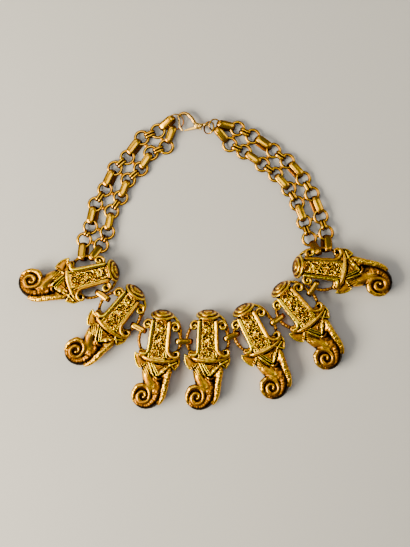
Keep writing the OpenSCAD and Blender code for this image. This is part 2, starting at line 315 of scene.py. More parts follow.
def lattice_noise(x: np.ndarray, y: np.ndarray, size: float, seed: int) -> np.ndarray:
    """Smooth noise in the plane, from -1 to 1.

    Args:
        x: First coordinates.
        y: Second coordinates.
        size: Size of its lumps.
        seed: Which noise of the same kind.

    Returns:
        The noise at each place.
    """
    table = np.random.default_rng(seed).uniform(-1, 1, (64, 64))
    u, v = np.broadcast_arrays(x / size + 31.3, y / size + 31.7)
    i, j = np.floor(u).astype(int), np.floor(v).astype(int)
    s, t = u - i, v - j
    s, t = s * s * (3 - 2 * s), t * t * (3 - 2 * t)
    corner = [table[(i + a) % 64, (j + b) % 64] for a in (0, 1) for b in (0, 1)]
    return (corner[0] * (1 - s) + corner[2] * s) * (1 - t) + (corner[1] * (1 - s) + corner[3] * s) * t


def fade(value: np.ndarray, low: float, high: float) -> np.ndarray:
    """Rises smoothly from 0 at low to 1 at high."""
    t = np.clip((value - low) / (high - low), 0, 1)
    return t * t * (3 - 2 * t)


class Wax:
    """A carver's wax: distances to its surface on a grid of small cells, in millimetres.

    Attributes:
        low: The grid's lowest corner.
        cell: The size of a cell.
        depth: The distance to the surface at each grid point, below nought inside.
    """

    def __init__(self, low: Row, high: Row, cell: float) -> None:
        """Starts with no wax in a box.

        Args:
            low: The box's lowest corner.
            high: The box's highest corner.
            cell: The size of a cell.
        """
        self.low = np.array(low, float)
        self.cell = cell
        counts = np.ceil((np.array(high, float) - self.low) / cell).astype(int) + 1
        self.depth = np.full(tuple(counts), FAR, np.float32)

    def window(self, low: np.ndarray, high: np.ndarray) -> tuple[tuple[slice, ...], list[np.ndarray]]:
        """Part of the grid between two corners.

        Args:
            low: The lowest corner.
            high: The highest corner.

        Returns:
            The part's slices and the coordinates of its grid points.
        """
        size = np.array(self.depth.shape)
        first = np.clip(np.floor((np.array(low) - self.low) / self.cell).astype(int), 0, size - 1)
        last = np.clip(np.ceil((np.array(high) - self.low) / self.cell).astype(int) + 1, first + 1, size)
        axes = [self.low[k] + self.cell * np.arange(first[k], last[k]) for k in range(3)]
        part = tuple(slice(a, b) for a, b in zip(first, last))
        return part, list(np.meshgrid(*axes, indexing="ij", sparse=True))

    def merge(self, part: tuple[slice, ...], shape: np.ndarray, blend: float, cut: bool) -> None:
        """Adds a shape with a fillet round it, or takes it away with a rounded edge.

        Args:
            part: The part of the grid that the shape lies in.
            shape: Distances to the shape's surface there.
            blend: Width of the fillet or the rounded edge.
            cut: True to take it away.
        """
        old = self.depth[part]
        near = np.maximum(blend - np.abs(old + shape if cut else old - shape), 0) / max(blend, 1e-6)
        fillet = near * near * blend * 0.25
        self.depth[part] = np.maximum(old, -shape) + fillet if cut else np.minimum(old, shape) - fillet

    def plate(self, outline: Rows, low: float, high: float, edge: float, blend: float,
              crown: float = 0.0, round_to: int = 0, cut: bool = False) -> None:
        """Adds or cuts a plate with rounded edges and a crowned front.

        Args:
            outline: Its corners, seen from the front.
            low: Height of its back.
            high: Height of its front.
            edge: Radius of its edges.
            blend: Width of the fillet around it.
            crown: How much its middle stands above its front's edge.
            round_to: Points made for each corner where the outline is smoothed.
            cut: True to take it away.
        """
        corners = smooth_line(outline, round_to, closed=True) if round_to else np.array(outline, float)
        pad = 1.2 + blend
        part, (x, y, z) = self.window(np.array([*(corners.min(0) - pad), low - pad]),
                                      np.array([*(corners.max(0) + pad), high + crown + pad]))
        flat = outline_distance(corners, x[:, :, 0], y[:, :, 0])[:, :, None]
        rise = np.clip(flat / min(flat.min(), -0.1), 0, 1)
        top = high + crown * (1 - (1 - rise) ** 2)
        side = flat + edge
        up = np.abs(z - (top + low) / 2) - (top - low) / 2 + edge
        outside = np.hypot(np.maximum(side, 0), np.maximum(up, 0))
        shape = np.minimum(np.maximum(side, up), 0) + outside - edge
        self.merge(part, shape, blend, cut)

    def rod(self, line: Rows, blend: float, per: int = 5, ripple: tuple[float, float] = (0.0, 1.0),
            cut: bool = False) -> None:
        """Adds or cuts a rod of varying radius along a smooth line.

        Args:
            line: Rows of x, y, z and radius.
            blend: Width of the fillet around it.
            per: Points made for each given one.
            ripple: Height and pitch of rings round it.
            cut: True to take it away.
        """
        points = smooth_line(line, per)
        reach = points[:, 3].max() + blend + 1.0
        part, (x, y, z) = self.window(points[:, :3].min(0) - reach, points[:, :3].max(0) + reach)
        shape = np.full(np.broadcast(x, y, z).shape, FAR)
        gone = 0.0
        for a, b in zip(points[:-1], points[1:]):
            way = b[:3] - a[:3]
            length = max(float(np.linalg.norm(way)), 1e-6)
            low, high = np.minimum(a, b) - reach, np.maximum(a, b) + reach
            span = [np.where((axis.ravel() >= low[k]) & (axis.ravel() <= high[k]))[0]
                    for k, axis in enumerate((x, y, z))]
            if any(len(s) == 0 for s in span):
                gone += length
                continue
            i, j, k = (slice(s[0], s[-1] + 1) for s in span)
            px, py, pz = x[i] - a[0], y[:, j] - a[1], z[:, :, k] - a[2]
            t = np.clip((px * way[0] + py * way[1] + pz * way[2]) / length ** 2, 0, 1)
            off = np.sqrt((px - t * way[0]) ** 2 + (py - t * way[1]) ** 2 + (pz - t * way[2]) ** 2)
            radius = a[3] + (b[3] - a[3]) * t
            if ripple[0]:
                radius = radius + ripple[0] * np.cos(2 * math.pi * (gone + t * length) / ripple[1])
            shape[i, j, k] = np.minimum(shape[i, j, k], off - radius)
            gone += length
        self.merge(part, shape, blend, cut)

    def bead(self, line: Rows, height: float, radii: Row, blend: float, **options: object) -> None:
        """Adds or cuts a rod whose radius changes evenly along it.

        Args:
            line: Rows of x and y, or of x, y and z.
            height: The z of rows that give none.
            radii: Radii spread evenly along it.
            blend: Width of the fillet around it.
            **options: What a rod takes besides.
        """
        widths = np.interp(np.linspace(0, 1, len(line)), np.linspace(0, 1, len(radii)), radii)
        self.rod([[p[0], p[1], p[2] if len(p) > 2 else height, w] for p, w in zip(line, widths)],
                 blend, **options)

    def turned(self, centre: Row, axis: Row, profile: Rows, blend: float, cut: bool = False) -> None:
        """Adds or cuts a turned shape.

        Args:
            centre: The place on its axis from which the profile counts.
            axis: Direction of its axis.
            profile: Closed outline in rows of radius and distance along the axis.
            blend: Width of the fillet around it.
            cut: True to take it away.
        """
        way = np.array(axis, float) / np.linalg.norm(axis)
        rows = np.array(profile, float)
        reach = float(np.hypot(rows[:, 0], rows[:, 1]).max()) + blend + 1.0
        part, (x, y, z) = self.window(np.array(centre) - reach, np.array(centre) + reach)
        px, py, pz = x - centre[0], y - centre[1], z - centre[2]
        along = px * way[0] + py * way[1] + pz * way[2]
        radius = np.sqrt(np.maximum(px ** 2 + py ** 2 + pz ** 2 - along ** 2, 0))
        shape = outline_distance(rows, radius, along)
        self.merge(part, shape, blend, cut)

    def drill(self, centre: Row, axis: Row, bottom: Row, top: Row, blend: float) -> None:
        """Cuts a round hole, whose ends are given as a radius and a distance along the axis."""
        self.turned(centre, axis, [[0, bottom[1]], bottom, top, [0, top[1]]], blend, cut=True)

    def relief(self, low: Row, high: Row, pattern: Pattern) -> None:
        """Raises the surface by a pattern of heights inside a box."""
        part, (x, y, z) = self.window(np.array(low), np.array(high))
        self.depth[part] -= pattern(x, y, z)

    def sample(self, points: np.ndarray) -> np.ndarray:
        """Distance to the surface at any places.

        Args:
            points: The places.

        Returns:
            The distances.
        """
        at = (points - self.low) / self.cell
        at = np.clip(at, 0, np.array(self.depth.shape) - 1.001)
        i = np.floor(at).astype(int)
        f = at - i
        total = np.zeros(len(points))
        for a, b, c in np.ndindex(2, 2, 2):
            weight = (np.where(a, f[:, 0], 1 - f[:, 0]) * np.where(b, f[:, 1], 1 - f[:, 1])
                      * np.where(c, f[:, 2], 1 - f[:, 2]))
            total += weight * self.depth[i[:, 0] + a, i[:, 1] + b, i[:, 2] + c]
        return total

    def outward(self, points: np.ndarray) -> np.ndarray:
        """Directions away from the surface.

        Args:
            points: Points on the surface.

        Returns:
            One direction of length 1 for each point.
        """
        steps = self.cell * np.eye(3)
        slope = np.stack([self.sample(points + step) - self.sample(points - step) for step in steps], 1)
        return slope / np.maximum(np.linalg.norm(slope, axis=1, keepdims=True), 1e-9)

    def wash_and_shade(self, points: np.ndarray) -> np.ndarray:
        """How deep each point of the surface lies among its neighbours, plus painted shade on steep sides.

        Args:
            points: Points on the surface.

        Returns:
            About 0 on worn edges, 0.15 on open faces and up to 1 in deep places; painted shade
            adds to it on sides that face sideways or down.
        """
        normal = self.outward(points)
        shut = np.zeros(len(points))
        for reach, weight in SHUT_IN:
            shut += weight * np.clip(1 - self.sample(points + normal * reach) / reach, 0, 1)
        edge = np.clip(1 + self.sample(points - normal * EDGE_REACH) / EDGE_REACH, 0, 1)
        # Painted shade: sides that face sideways or down are darkened
        lower = np.maximum(0.55 - normal[:, 2], 0)
        return np.clip(0.14 + 1.25 * shut - 0.5 * edge + 0.32 * lower, 0, 1)

    def skin(self, adaptivity: float) -> tuple[np.ndarray, list[np.ndarray]]:
        """Surface of the wax.

        Args:
            adaptivity: How much flat places are thinned.

        Returns:
            Its points in millimetres, and its triangles and four-sided faces.
        """
        grid = openvdb.FloatGrid(FAR)
        grid.copyFromArray(self.depth.astype(np.float32))
        points, triangles, quads = grid.convertToPolygons(isovalue=0.0, adaptivity=adaptivity)
        faces = [np.array(f, int) for f in (triangles, quads) if len(f)]
        placed = self.low + self.cell * np.array(points, float)
        a, b, c = (placed[faces[-1][:, k]] for k in range(3))
        # Faces that look inwards have a volume below nought and are turned round
        if np.einsum("ij,ij->", a, np.cross(b, c)) < 0:
            faces = [f[:, ::-1] for f in faces]
        return placed, faces


def write_values(mesh: bpy.types.Mesh, name: str, rows: np.ndarray) -> None:
    """Stores a number or a vector for each point of a mesh.

    Args:
        mesh: The mesh.
        name: The attribute's name.
        rows: One number, or one row of three, for each point.
    """
    values = np.array(rows, np.float32)
    kind, key = ("FLOAT", "value") if values.ndim == 1 else ("FLOAT_VECTOR", "vector")
    mesh.attributes.new(name, kind, "POINT").data.foreach_set(key, values.ravel())


def piece(name: str, points_mm: np.ndarray, faces: list[np.ndarray], values: dict[str, np.ndarray],
          material: bpy.types.Material) -> bpy.types.Object:
    """Makes an object from points and faces, with its place in its mesh.

    Args:
        name: The object's name.
        points_mm: Its points in the row frame, in millimetres.
        faces: Arrays of faces with an equal number of corners each.
        values: Numbers for each point, by attribute name.
        material: Its material.

    Returns:
        The object.
    """
    mesh = bpy.data.meshes.new(name)
    corners = np.concatenate([f.ravel() for f in faces])
    sizes = np.concatenate([np.full(len(f), f.shape[1]) for f in faces])
    starts = np.concatenate([[0], np.cumsum(sizes)[:-1]])
    mesh.vertices.add(len(points_mm))
    mesh.vertices.foreach_set("co", (points_mm * MM).astype(np.float32).ravel())
    mesh.loops.add(len(corners))
    mesh.loops.foreach_set("vertex_index", corners.astype(np.int32))
    mesh.polygons.add(len(sizes))
    mesh.polygons.foreach_set("loop_start", starts.astype(np.int32))
    mesh.polygons.foreach_set("use_smooth", np.ones(len(sizes), bool))
    mesh.update(calc_edges=True)
    for key, numbers in values.items():
        write_values(mesh, key, numbers)
    mesh.materials.append(material)
    made = bpy.data.objects.new(name, mesh)
    bpy.context.scene.collection.objects.link(made)
    return made


def report(made: bpy.types.Object) -> None:
    """Logs a piece's size in faces and millimetres."""
    size = [round(v / MM, 1) for v in made.dimensions]
    log.info("%s: %d faces, %s mm", made.name, len(made.data.polygons), size)


def circle(centre: Row, radius: float) -> np.ndarray:
    """Corners of a round outline."""
    turn = np.linspace(0, 2 * math.pi, 24, endpoint=False)
    return np.stack([centre[0] + radius * np.cos(turn), centre[1] + radius * np.sin(turn)], 1)


@dataclass
class Casting:
    """One cast pendant: cap, console, volutes, handles, band, ear flaps, head and curled trunk.

    Its own frame is in millimetres about the middle of its console: x across, y towards the cap
    and z from its long axis towards the front.

    Attributes:
        cell: Size of the wax's cells.
        cap_lean: How far the cap leans towards the front, in degrees.
        handle_reach: Reach of a side handle from the middle.
        handle_r: Radius of a side handle's arc.
        handle_wire: Radius of a side handle's wire.
        curl_eye: Centre of the trunk's curl.
        coil_middle: Middle of the coil that lies on it.
        low: Lowest corner of the box of wax.
        high: Its highest corner.
    """

    cell: float = 0.24
    cap_lean: float = 19.0
    handle_reach: float = 13.0
    handle_r: float = 11.8
    handle_wire: float = 0.95
    curl_eye: tuple[float, float] = (-6.0, -35.0)
    coil_middle: tuple[float, float] = (-6.5, -35.0)
    low: Row = (-15.6, -45.4, -7.6)
    high: Row = (15.2, 18.9, 7.8)

    def cap(self, wax: Wax) -> None:
        """Turns the stepped round cap.

        Args:
            wax: The wax that it is built in.
        """
        lean = math.radians(self.cap_lean)
        wax.turned([0, 15.2, 0], [0, math.cos(lean), math.sin(lean)],
                   [[0, -3.9], [4.9, -3.9], [5.3, -2.6], [6.0, -1.3], [6.8, -0.55], [7.3, -0.05],
                    [7.4, 0.4], [7.15, 0.85], [6.4, 1.05], [5.75, 0.85], [5.35, 0.95], [5.3, 1.5],
                    [5.25, 2.05], [4.8, 2.4], [4.1, 2.35], [3.4, 2.0], [2.85, 2.05], [2.6, 2.7],
                    [2.2, 3.1], [1.5, 3.15], [1.0, 2.95], [0, 2.95]], blend=0.5)

    def console(self, wax: Wax) -> None:
        """Builds the console's core, its raised panel and the columns on both sides of it.

        Args:
            wax: The wax that it is built in.
        """
        wax.plate([[-5.2, 12.6], [-6, 0], [-6.6, -7], [-7, -11], [6.8, -11], [6.2, -7], [5.6, 0],
                   [5.2, 12.6]], -4.9, 4.1, edge=1.0, blend=0.4)
        wax.plate([[-3.5, 12.4], [-3.9, 4], [-4.3, -4], [-4.7, -12.0], [4.8, -12.0], [4.4, -4], [4.1, 4],
                   [3.7, 12.4]], 0, 4.95, edge=0.5, crown=0.35, blend=0.3)
        wax.bead([[-5.3, 11.8], [-5.55, 7.2], [-5.8, 0], [-6.1, -5.4], [-6.7, -7.9], [-8.4, -9.0],
                        [-10.6, -8.6]], 4.35, [1.0, 1.2, 1.25, 1.25, 1.2, 0.95], blend=0.35)
        wax.bead([[-4.35, 11.6], [-4.6, 4], [-4.8, -2], [-5.1, -7], [-5.6, -10.4]], 4.6, [0.42, 0.48],
                blend=0.12)
        wax.bead([[5.2, 11.8], [5.55, 7.2], [5.7, 0], [5.8, -5.1], [6.6, -7.6], [8.4, -9.2], [10.6, -9.6],
                        [12.3, -8.7], [12.8, -7.1], [12.1, -5.9], [11.1, -6.1]], 4.4,
                       [0.9, 1.0, 1.05, 1.0, 0.9, 0.8, 0.6], blend=0.35)
        wax.bead([[4.35, 11.6], [4.55, 4], [4.7, -2], [4.9, -7], [5.4, -10.2]], 4.5, [0.4, 0.42],
                 blend=0.12)
        wax.relief([-5.2, -11, 3], [5.2, 12, 6.6], self.filigree)

    @staticmethod
    def filigree(x: np.ndarray, y: np.ndarray, z: np.ndarray) -> np.ndarray:
        """Heights of the panel's crowded curls, which leave dark gaps between them.

        Args:
            x: Places across the panel.
            y: Places along it.
            z: Heights over its long axis.

        Returns:
            The pattern's heights.
        """
        wide = 3.95 + 0.03 * (4 - y)
        inside = fade(wide - np.abs(x), 0.0, 0.5) * fade(11.8 - y, 0, 0.6)
        inside = inside * fade(y + 10.7, 0, 0.6) * fade(z, 3.4, 4.2)
        bend_x = x + 0.6 * lattice_noise(x, y, 1.5, 3)
        bend_y = y + 0.6 * lattice_noise(x, y, 1.5, 4)
        worm = 1 - np.clip(np.abs(lattice_noise(bend_x, bend_y, 1.35, 11)) * 2.3, 0, 1)
        curl = 1 - np.clip(np.abs(lattice_noise(bend_x, bend_y, 2.0, 17)) * 2.8, 0, 1)
        edge = np.exp(-((np.abs(x) - wide + 0.75) / 0.42) ** 2)
        bead = edge * (0.5 + 0.5 * np.cos(2 * math.pi * y / 1.35))
        net = np.maximum(np.maximum(worm, curl), bead)
        return inside * (1.5 * net - 0.95)

    def volutes(self, wax: Wax) -> None:
        """Winds the scrolls above and below the side handles.

        Args:
            wax: The wax that it is built in.
        """
        wax.plate(circle((-7.9, 9.4), 2.75), -2.2, 3.3, edge=0.7, blend=0.4)
        wax.bead([[-5.7, 6.4], [-5.5, 8.6], [-5.7, 10.6], [-7.0, 11.9], [-8.9, 11.7], [-10.2, 10.2],
                        [-10.2, 8.3], [-9.0, 7.2], [-7.6, 7.6], [-7.0, 8.9], [-7.7, 9.8], [-8.5, 9.4]], 3.6,
                       [0.8, 0.85, 0.8, 0.7, 0.55], blend=0.2)
        wax.plate(circle((8.9, 9.1), 2.55), -2.2, 3.4, edge=0.7, blend=0.4)
        wax.bead([[5.7, 6.0], [5.7, 8.6], [6.2, 10.6], [7.8, 11.7], [9.8, 11.4], [11.0, 9.8], [10.8, 8.0],
                        [9.4, 7.0], [7.9, 7.6], [7.5, 9.0]], 3.6, [0.8, 0.85, 0.8, 0.75, 0.6], blend=0.2)
        wax.drill([9.2, 9.3, 4.4], [0, 0, 1], [0.75, -2.4], [1.0, 2], blend=0.3)
        wax.plate(circle((-10.2, -8.3), 2.1), -2.5, 3.4, edge=0.8, blend=0.5)
        wax.plate(circle((10.4, -7.9), 2.2), -2.5, 3.2, edge=0.7, blend=0.5)
        wax.drill([10.7, -7.3, 4.0], [0, 0, 1], [0.7, -2], [1.0, 2], blend=0.3)
        for side in (-1, 1):
            wax.plate([[side * 5.4, -5.2], [side * 7.6, -6.3], [side * 10, -7.4], [side * 11.2, -10.2],
                       [side * 5.4, -11.2]], -2.7, 3.9, edge=0.6, blend=0.5)

    def handles(self, wax: Wax) -> None:
        """Bends the two side handles that the links hold, and takes the right one up to the cap.

        Args:
            wax: The wax that it is built in.
        """
        reach = self.handle_reach - self.handle_r
        for side in (-1, 1):
            arc = []
            for turn in np.arange(-50, 50.1, 2.5):
                at = math.radians(turn)
                lump = 0.11 * math.cos(math.radians(turn * 36))
                arc.append([side * (reach + self.handle_r * math.cos(at)), self.handle_r * math.sin(at), 0,
                            self.handle_wire + lump])
            wax.rod(arc, blend=0.5, per=2)
        wax.rod([[12.3, 4.2, 0, 0.8], [11.9, 7.4, -0.2, 0.85], [10.9, 10.6, -0.4, 0.85],
                 [9.4, 13.0, -0.6, 0.9], [7.0, 15.0, -0.8, 0.9]], blend=0.4, ripple=(0.1, 1.2))

    def band(self, wax: Wax) -> None:
        """Lays the ribbon across the foot of the console.

        Args:
            wax: The wax that it is built in.
        """
        line = [[-8.9, -10.9, 3.3], [-6.6, -11.6, 3.9], [-3.6, -12.3, 4.2], [0.4, -12.7, 4.3],
                [4.4, -12.5, 4.2], [8.0, -12.0, 3.9], [11.0, -11.0, 3.4], [13.2, -9.5, 2.8]]
        wax.bead(line, 0, [1.0, 1.3, 1.35, 1.3, 1.15, 1.0, 0.9, 0.55], blend=0.25)
        wax.bead([[-14.1, -8.9], [-12.2, -9.9], [-10.2, -10.7], [-8.6, -11.2]], 2.4, [0.45, 0.5, 0.5],
                 blend=0.2)
        wax.plate([[-9, -9.4], [-5, -10.2], [5, -10.2], [9, -9.6], [8.4, -12.8], [0, -13.3],
                   [-8.4, -12.8]], -4.3, 3.9, edge=0.6, blend=0.6)
        wax.plate([[-2.3, -14.2], [0.3, -13.9], [3.2, -14.1], [2.3, -15.0], [0.3, -15.2], [-1.4, -14.9]],
                  2.2, 7, edge=0.2, blend=0.2, cut=True)

    def ears(self, wax: Wax) -> None:
        """Shapes the leaf-like flap on each side of the head.

        Args:
            wax: The wax that it is built in.
        """
        wax.plate([[-6.2, -11.2], [-10, -10.6], [-14.0, -8.9], [-13.8, -13.1], [-12.2, -16.4],
                   [-10.5, -18.2], [-8.3, -16.8], [-6.2, -14.5]], -2.9, 2.1, edge=0.6, crown=0.4,
                  blend=0.4)
        wax.bead([[-14.1, -9.0], [-14.2, -11.4], [-13.5, -14.1], [-12.1, -16.7], [-10.6, -18.2]], 2.2,
                       [0.5, 0.55, 0.55, 0.45], blend=0.2)
        wax.bead([[-10.3, -18.0], [-8.8, -16.6], [-7.2, -14.9], [-6.4, -14.0]], 2.5, [0.45, 0.45],
                 blend=0.2)
        wax.plate([[6.2, -11.4], [13.3, -9], [13.3, -12.6], [12.7, -14.4], [11.3, -16.6], [10.0, -17.7],
                   [8.0, -15.5]], -2.9, 1.8, edge=0.8, crown=0.4, blend=0.4)
        wax.bead([[8.0, -14.9], [10.0, -13.6], [12.0, -12.5]], 3.3, [0.6, 0.5, 0.45], blend=0.2)
        wax.bead([[7.2, -13.6, 3.4], [9.2, -15.4, 3.0], [11.0, -17.2, 2.2]], 0, [0.5, 0.5], blend=0.2)
        wax.bead([[13.0, -9.6], [13.3, -12.2], [12.6, -14.6], [11.1, -17.0]], 1.9, [0.5, 0.55, 0.5],
                 blend=0.2)

    def head(self, wax: Wax) -> None:
        """Shapes the head: cheeks, shield, chevrons and the ridge on its right.

        Args:
            wax: The wax that it is built in.
        """
        wax.plate([[-7.4, -11.9], [9.5, -12.4], [9.3, -16], [8.2, -21], [7.6, -26], [7.1, -31],
                   [6.1, -35], [4.2, -38], [-2, -37], [-8.0, -26.6], [-8.0, -24.4], [-9.0, -20.5],
                   [-9.4, -18.4], [-6.6, -14.6]], -6.1, 0.9, edge=2.0, crown=0.8, blend=0.5)
        wax.rod([[-5.6, -14.2, -0.9, 3.2], [-6.0, -17.4, -0.7, 3.2], [-5.9, -20.6, -0.6, 3.2],
                 [-5.1, -24.0, -0.6, 3.3], [-3.2, -27.6, -0.7, 3.3], [-0.4, -31.0, -0.9, 3.1]], blend=1.0)
        wax.bead([[-5.2, -14.0, 2.5], [-4.0, -17.0, 2.8], [-2.4, -20.4, 2.7], [-0.8, -23.4, 2.2]], 0,
                       [0.55, 0.7, 0.7, 0.5], blend=0.5)
        wax.plate([[-3.6, -13.0], [7.4, -13.2], [1.3, -22.0]], 0, 2.9, edge=0.4, crown=0.3, blend=0.4)
        wax.bead([[-3.7, -14.2], [-2.6, -16.4], [-1.0, -19.2], [0.7, -21.8]], 3.0, [0.36, 0.4, 0.36],
                 blend=0.2)
        wax.bead([[-2.1, -14.8], [-0.8, -17.2], [0.5, -19.4], [1.2, -20.4]], 3.1, [0.34, 0.34], blend=0.15)
        wax.bead([[8.2, -14.3], [6.2, -16.7], [3.9, -19.2], [1.3, -21.8]], 2.6, [0.85, 0.9, 0.8, 0.6],
                 blend=0.3)
        wax.bead([[7.6, -15.4], [5.6, -17.6], [3.4, -20.0]], 3.55, [0.26, 0.26], blend=0.1, cut=True)
        wax.bead([[1.0, -17.8], [2.2, -16.6], [3.8, -15.6]], 3.3, [0.4, 0.34], blend=0.15)
        wax.bead([[-0.2, -22.8], [1.2, -23.9], [3.0, -23.3]], 3.0, [0.6, 0.7, 0.6], blend=0.25)
        wax.bead([[8.0, -15.6, 1.3], [7.8, -18.6, 1.3], [7.0, -22, 1.3], [6.3, -26, 1.1], [5.9, -30, 0.9],
                        [5.5, -33.5, 0.5], [4.7, -36.6, 0.1], [3.3, -39.4, -0.5]], 0,
                       [1.2, 1.7, 2.0, 2.05, 1.95, 1.75, 1.45, 1.0], blend=0.5, ripple=(0.09, 1.25))
        wax.rod([[4.2, -24.6, 0.4, 1.2], [4.6, -27.8, 0.3, 1.2], [4.5, -31.2, 0.1, 1.2],
                 [3.9, -34.6, -0.3, 1.1], [2.8, -37.6, -0.8, 0.9]], blend=0.5)
        wax.plate([[2.6, -22.0], [7.4, -16.2], [8.6, -18.4], [7.8, -23], [6.8, -27.5], [5.0, -27],
                   [4.0, -24.6]], -1, 1.9, edge=0.7, crown=0.7, blend=0.5)
        wax.rod([[-0.6, -23.9, 0.7, 1.4], [1.4, -25.2, 0.7, 1.7], [3.0, -27.6, 0.5, 1.5],
                 [4.2, -31.0, 0.1, 1.2]], blend=0.6)
        wax.relief([-10, -23, 1], [0, -13, 5], self.hatching)
        wax.relief([-1.2, -36, 0.4], [9.6, -15, 5], self.pebbles)

    @staticmethod
    def hatching(x: np.ndarray, y: np.ndarray, z: np.ndarray) -> np.ndarray:
        """Heights of the slanting cuts across the left cheek.

        Args:
            x: Places across the head.
            y: Places along it.
            z: Heights over its long axis.

        Returns:
            The pattern's heights.
        """
        across = 0.85 * x + 0.53 * y
        strip = fade(-15.2 - y, 0, 0.8) * fade(y + 21.8, 0, 1.0)
        strip = strip * fade(-6.4 - 0.55 * (y + 14.5) - x, 0, 0.6)
        return 0.3 * strip * np.cos(2 * math.pi * across / 1.25) * fade(z, 0.6, 1.6)

    @staticmethod
    def pebbles(x: np.ndarray, y: np.ndarray, z: np.ndarray) -> np.ndarray:
        """Heights of the hammered skin on the right cheek.

        Args:
            x: Places across the head.
            y: Places along it.
            z: Heights over its long axis.

        Returns:
            The pattern's heights.
        """
        front = fade(z, 0.8, 1.6)
        throat = fade(x + 1.2, 0, 0.8) * fade(-21.6 - y, 0, 0.8) * front
        cheek = fade(x - 2.4, 0, 0.8) * fade(y + 21.6, 0, 0.8) * front
        return 0.26 * (throat + cheek) * lattice_noise(x, y, 0.95, 23)

    def boundary(self) -> np.ndarray:
        """Outline of the trunk's curl, seen from the front.

        Returns:
            Its corners.
        """
        turns = [-10, -22, -40, -60, -82, -110, -145, -180, -215, -240, -263]
        radii = [9.9, 9.9, 9.6, 9.0, 8.5, 8.3, 8.1, 7.8, 7.5, 7.5, 7.7]
        eye_x, eye_y = self.curl_eye
        arc = [[eye_x + r * math.cos(math.radians(t)), eye_y + r * math.sin(math.radians(t))]
               for t, r in zip(turns, radii)]
        return smooth_line(arc + [[-1.5, -28.5], [3.2, -33.0]], 4, closed=True)

    def trunk(self, wax: Wax) -> None:
        """Winds the wrinkled trunk into its curl.

        Args:
            wax: The wax that it is built in.
        """
        wax.plate(self.boundary(), -6.3, 0.3, edge=2.2, blend=0.6)
        wax.rod([[1.3, -21.8, -1.5, 2.9], [2.1, -26.5, -1.1, 3.3], [2.2, -31.2, -0.9, 3.3],
                 [1.2, -35.4, -0.8, 3.2], [-1.5, -39.2, -0.8, 2.9], [-5.5, -41.0, -0.8, 2.5],
                 [-9.2, -40.0, -0.7, 2.1], [-11.6, -37.4, -0.4, 1.8], [-12.3, -34.4, 0.0, 1.5]],
                blend=0.8, ripple=(0.14, 1.5))
        wax.bead([[3.4, -22.8, 2.6], [4.4, -26, 2.7], [4.6, -30, 2.4], [4.2, -34, 2.0], [2.9, -37.6, 1.5],
                  [0.5, -40.8, 0.9], [-2.4, -43.0, 0.4]], 0, [0.15, 0.25, 0.3, 0.25, 0.2], blend=0.2,
                 cut=True)
        wax.rod([[-12.4, -39.0, 0.5, 0.8], [-12.9, -36.6, 0.9, 1.15], [-12.8, -33.6, 1.2, 1.4],
                 [-11.8, -31.1, 1.3, 1.55], [-9.9, -29.3, 1.4, 1.65], [-7.3, -28.7, 1.4, 1.65],
                 [-4.9, -29.5, 1.5, 1.5], [-3.3, -31.5, 1.6, 1.35], [-2.8, -33.7, 1.6, 1.2],
                 [-2.9, -36.0, 1.6, 1.2], [-3.8, -38.0, 1.5, 1.25], [-5.8, -39.1, 1.5, 1.35],
                 [-8.1, -39.0, 1.4, 1.4], [-9.6, -37.5, 1.4, 1.4], [-9.9, -35.3, 1.4, 1.35],
                 [-8.9, -33.3, 1.4, 1.25], [-7.1, -32.7, 1.4, 1.15], [-5.6, -33.7, 1.5, 0.95],
                 [-5.5, -35.2, 1.6, 0.85], [-6.4, -36.0, 1.7, 0.8]], blend=0.25)
        wax.relief([-15, -45, -1], [7, -22, 5], self.wrinkles)

    def wrinkles(self, x: np.ndarray, y: np.ndarray, z: np.ndarray) -> np.ndarray:
        """Heights of the trunk's wrinkled skin, which fade out on the curl's rim.

        Args:
            x: Places across the trunk.
            y: Places along the pendant.
            z: Heights over its long axis.

        Returns:
            The pattern's heights.
        """
        coil = np.hypot(x - self.coil_middle[0], y - self.coil_middle[1])
        away = fade(coil, 5.2, 6.8) * fade(-23.5 - y, 0, 1.5) * fade(z, 0.0, 0.8)
        return 0.26 * away * lattice_noise(x + 0.5 * y, y, 1.5, 31)

    @staticmethod
    def cast_skin(x: np.ndarray, y: np.ndarray, z: np.ndarray) -> np.ndarray:
        """Low lumps of the cast skin all over the casting."""
        return 0.05 * lattice_noise(x + 0.4 * z, y - 0.3 * z, 1.1, 41)

    def sculpt(self) -> tuple[np.ndarray, list[np.ndarray], dict[str, np.ndarray]]:
        """Builds the whole casting.

        Returns:
            Its points in its own frame, its faces and its point values.
        """
        wax = Wax(self.low, self.high, self.cell)
        for shape in (self.console, self.volutes, self.handles, self.ears, self.trunk, self.head, self.band,
                      self.cap):
            shape(wax)
        wax.relief(self.low, self.high, self.cast_skin)
        points, faces = wax.skin(adaptivity=0.02)
        # Wash in hollows plus the painted shade and painted highlights of shade(), kept between 0 and 1
        wash_and_shade = np.clip(wax.wash_and_shade(points) + self.shade(points), 0, 1)
        coil = np.hypot(points[:, 0] - self.coil_middle[0], points[:, 1] - self.coil_middle[1])
        curl = 1 - fade(coil, 6.0, 7.4)
        return points, faces, {"wash_and_shade": wash_and_shade + curl * (0.13 - 0.42 * wash_and_shade)}

    @staticmethod
    def shade(points: np.ndarray) -> np.ndarray:
        """Painted shade, painted highlights and extra wash on top of how deep each place lies.

        Painted shade on the trunk's right flank and tube and on the right bar, as if lit from the
        pendant's left, and on the neck to dim its highlight; a painted highlight on the left bar's front.
        More wash in the panel's gaps and less on its tops. It is also darker on the shield, the throat,
        the left ear and the side handles, lighter on the cap, and the ridge on the right is kept clear of
        the darkening of the trunk and the shield.

        Args:
            points: Points of the casting's surface.

        Returns:
            What it adds to the values of wash and painted shade.
        """
        x, y, z = points.T

        def near(line: Rows, full: float, none: float) -> np.ndarray:
            """1 up to the first distance from a smooth line, and 0 from the second on."""
            return 1 - fade(line_distance(points, line), full, none)

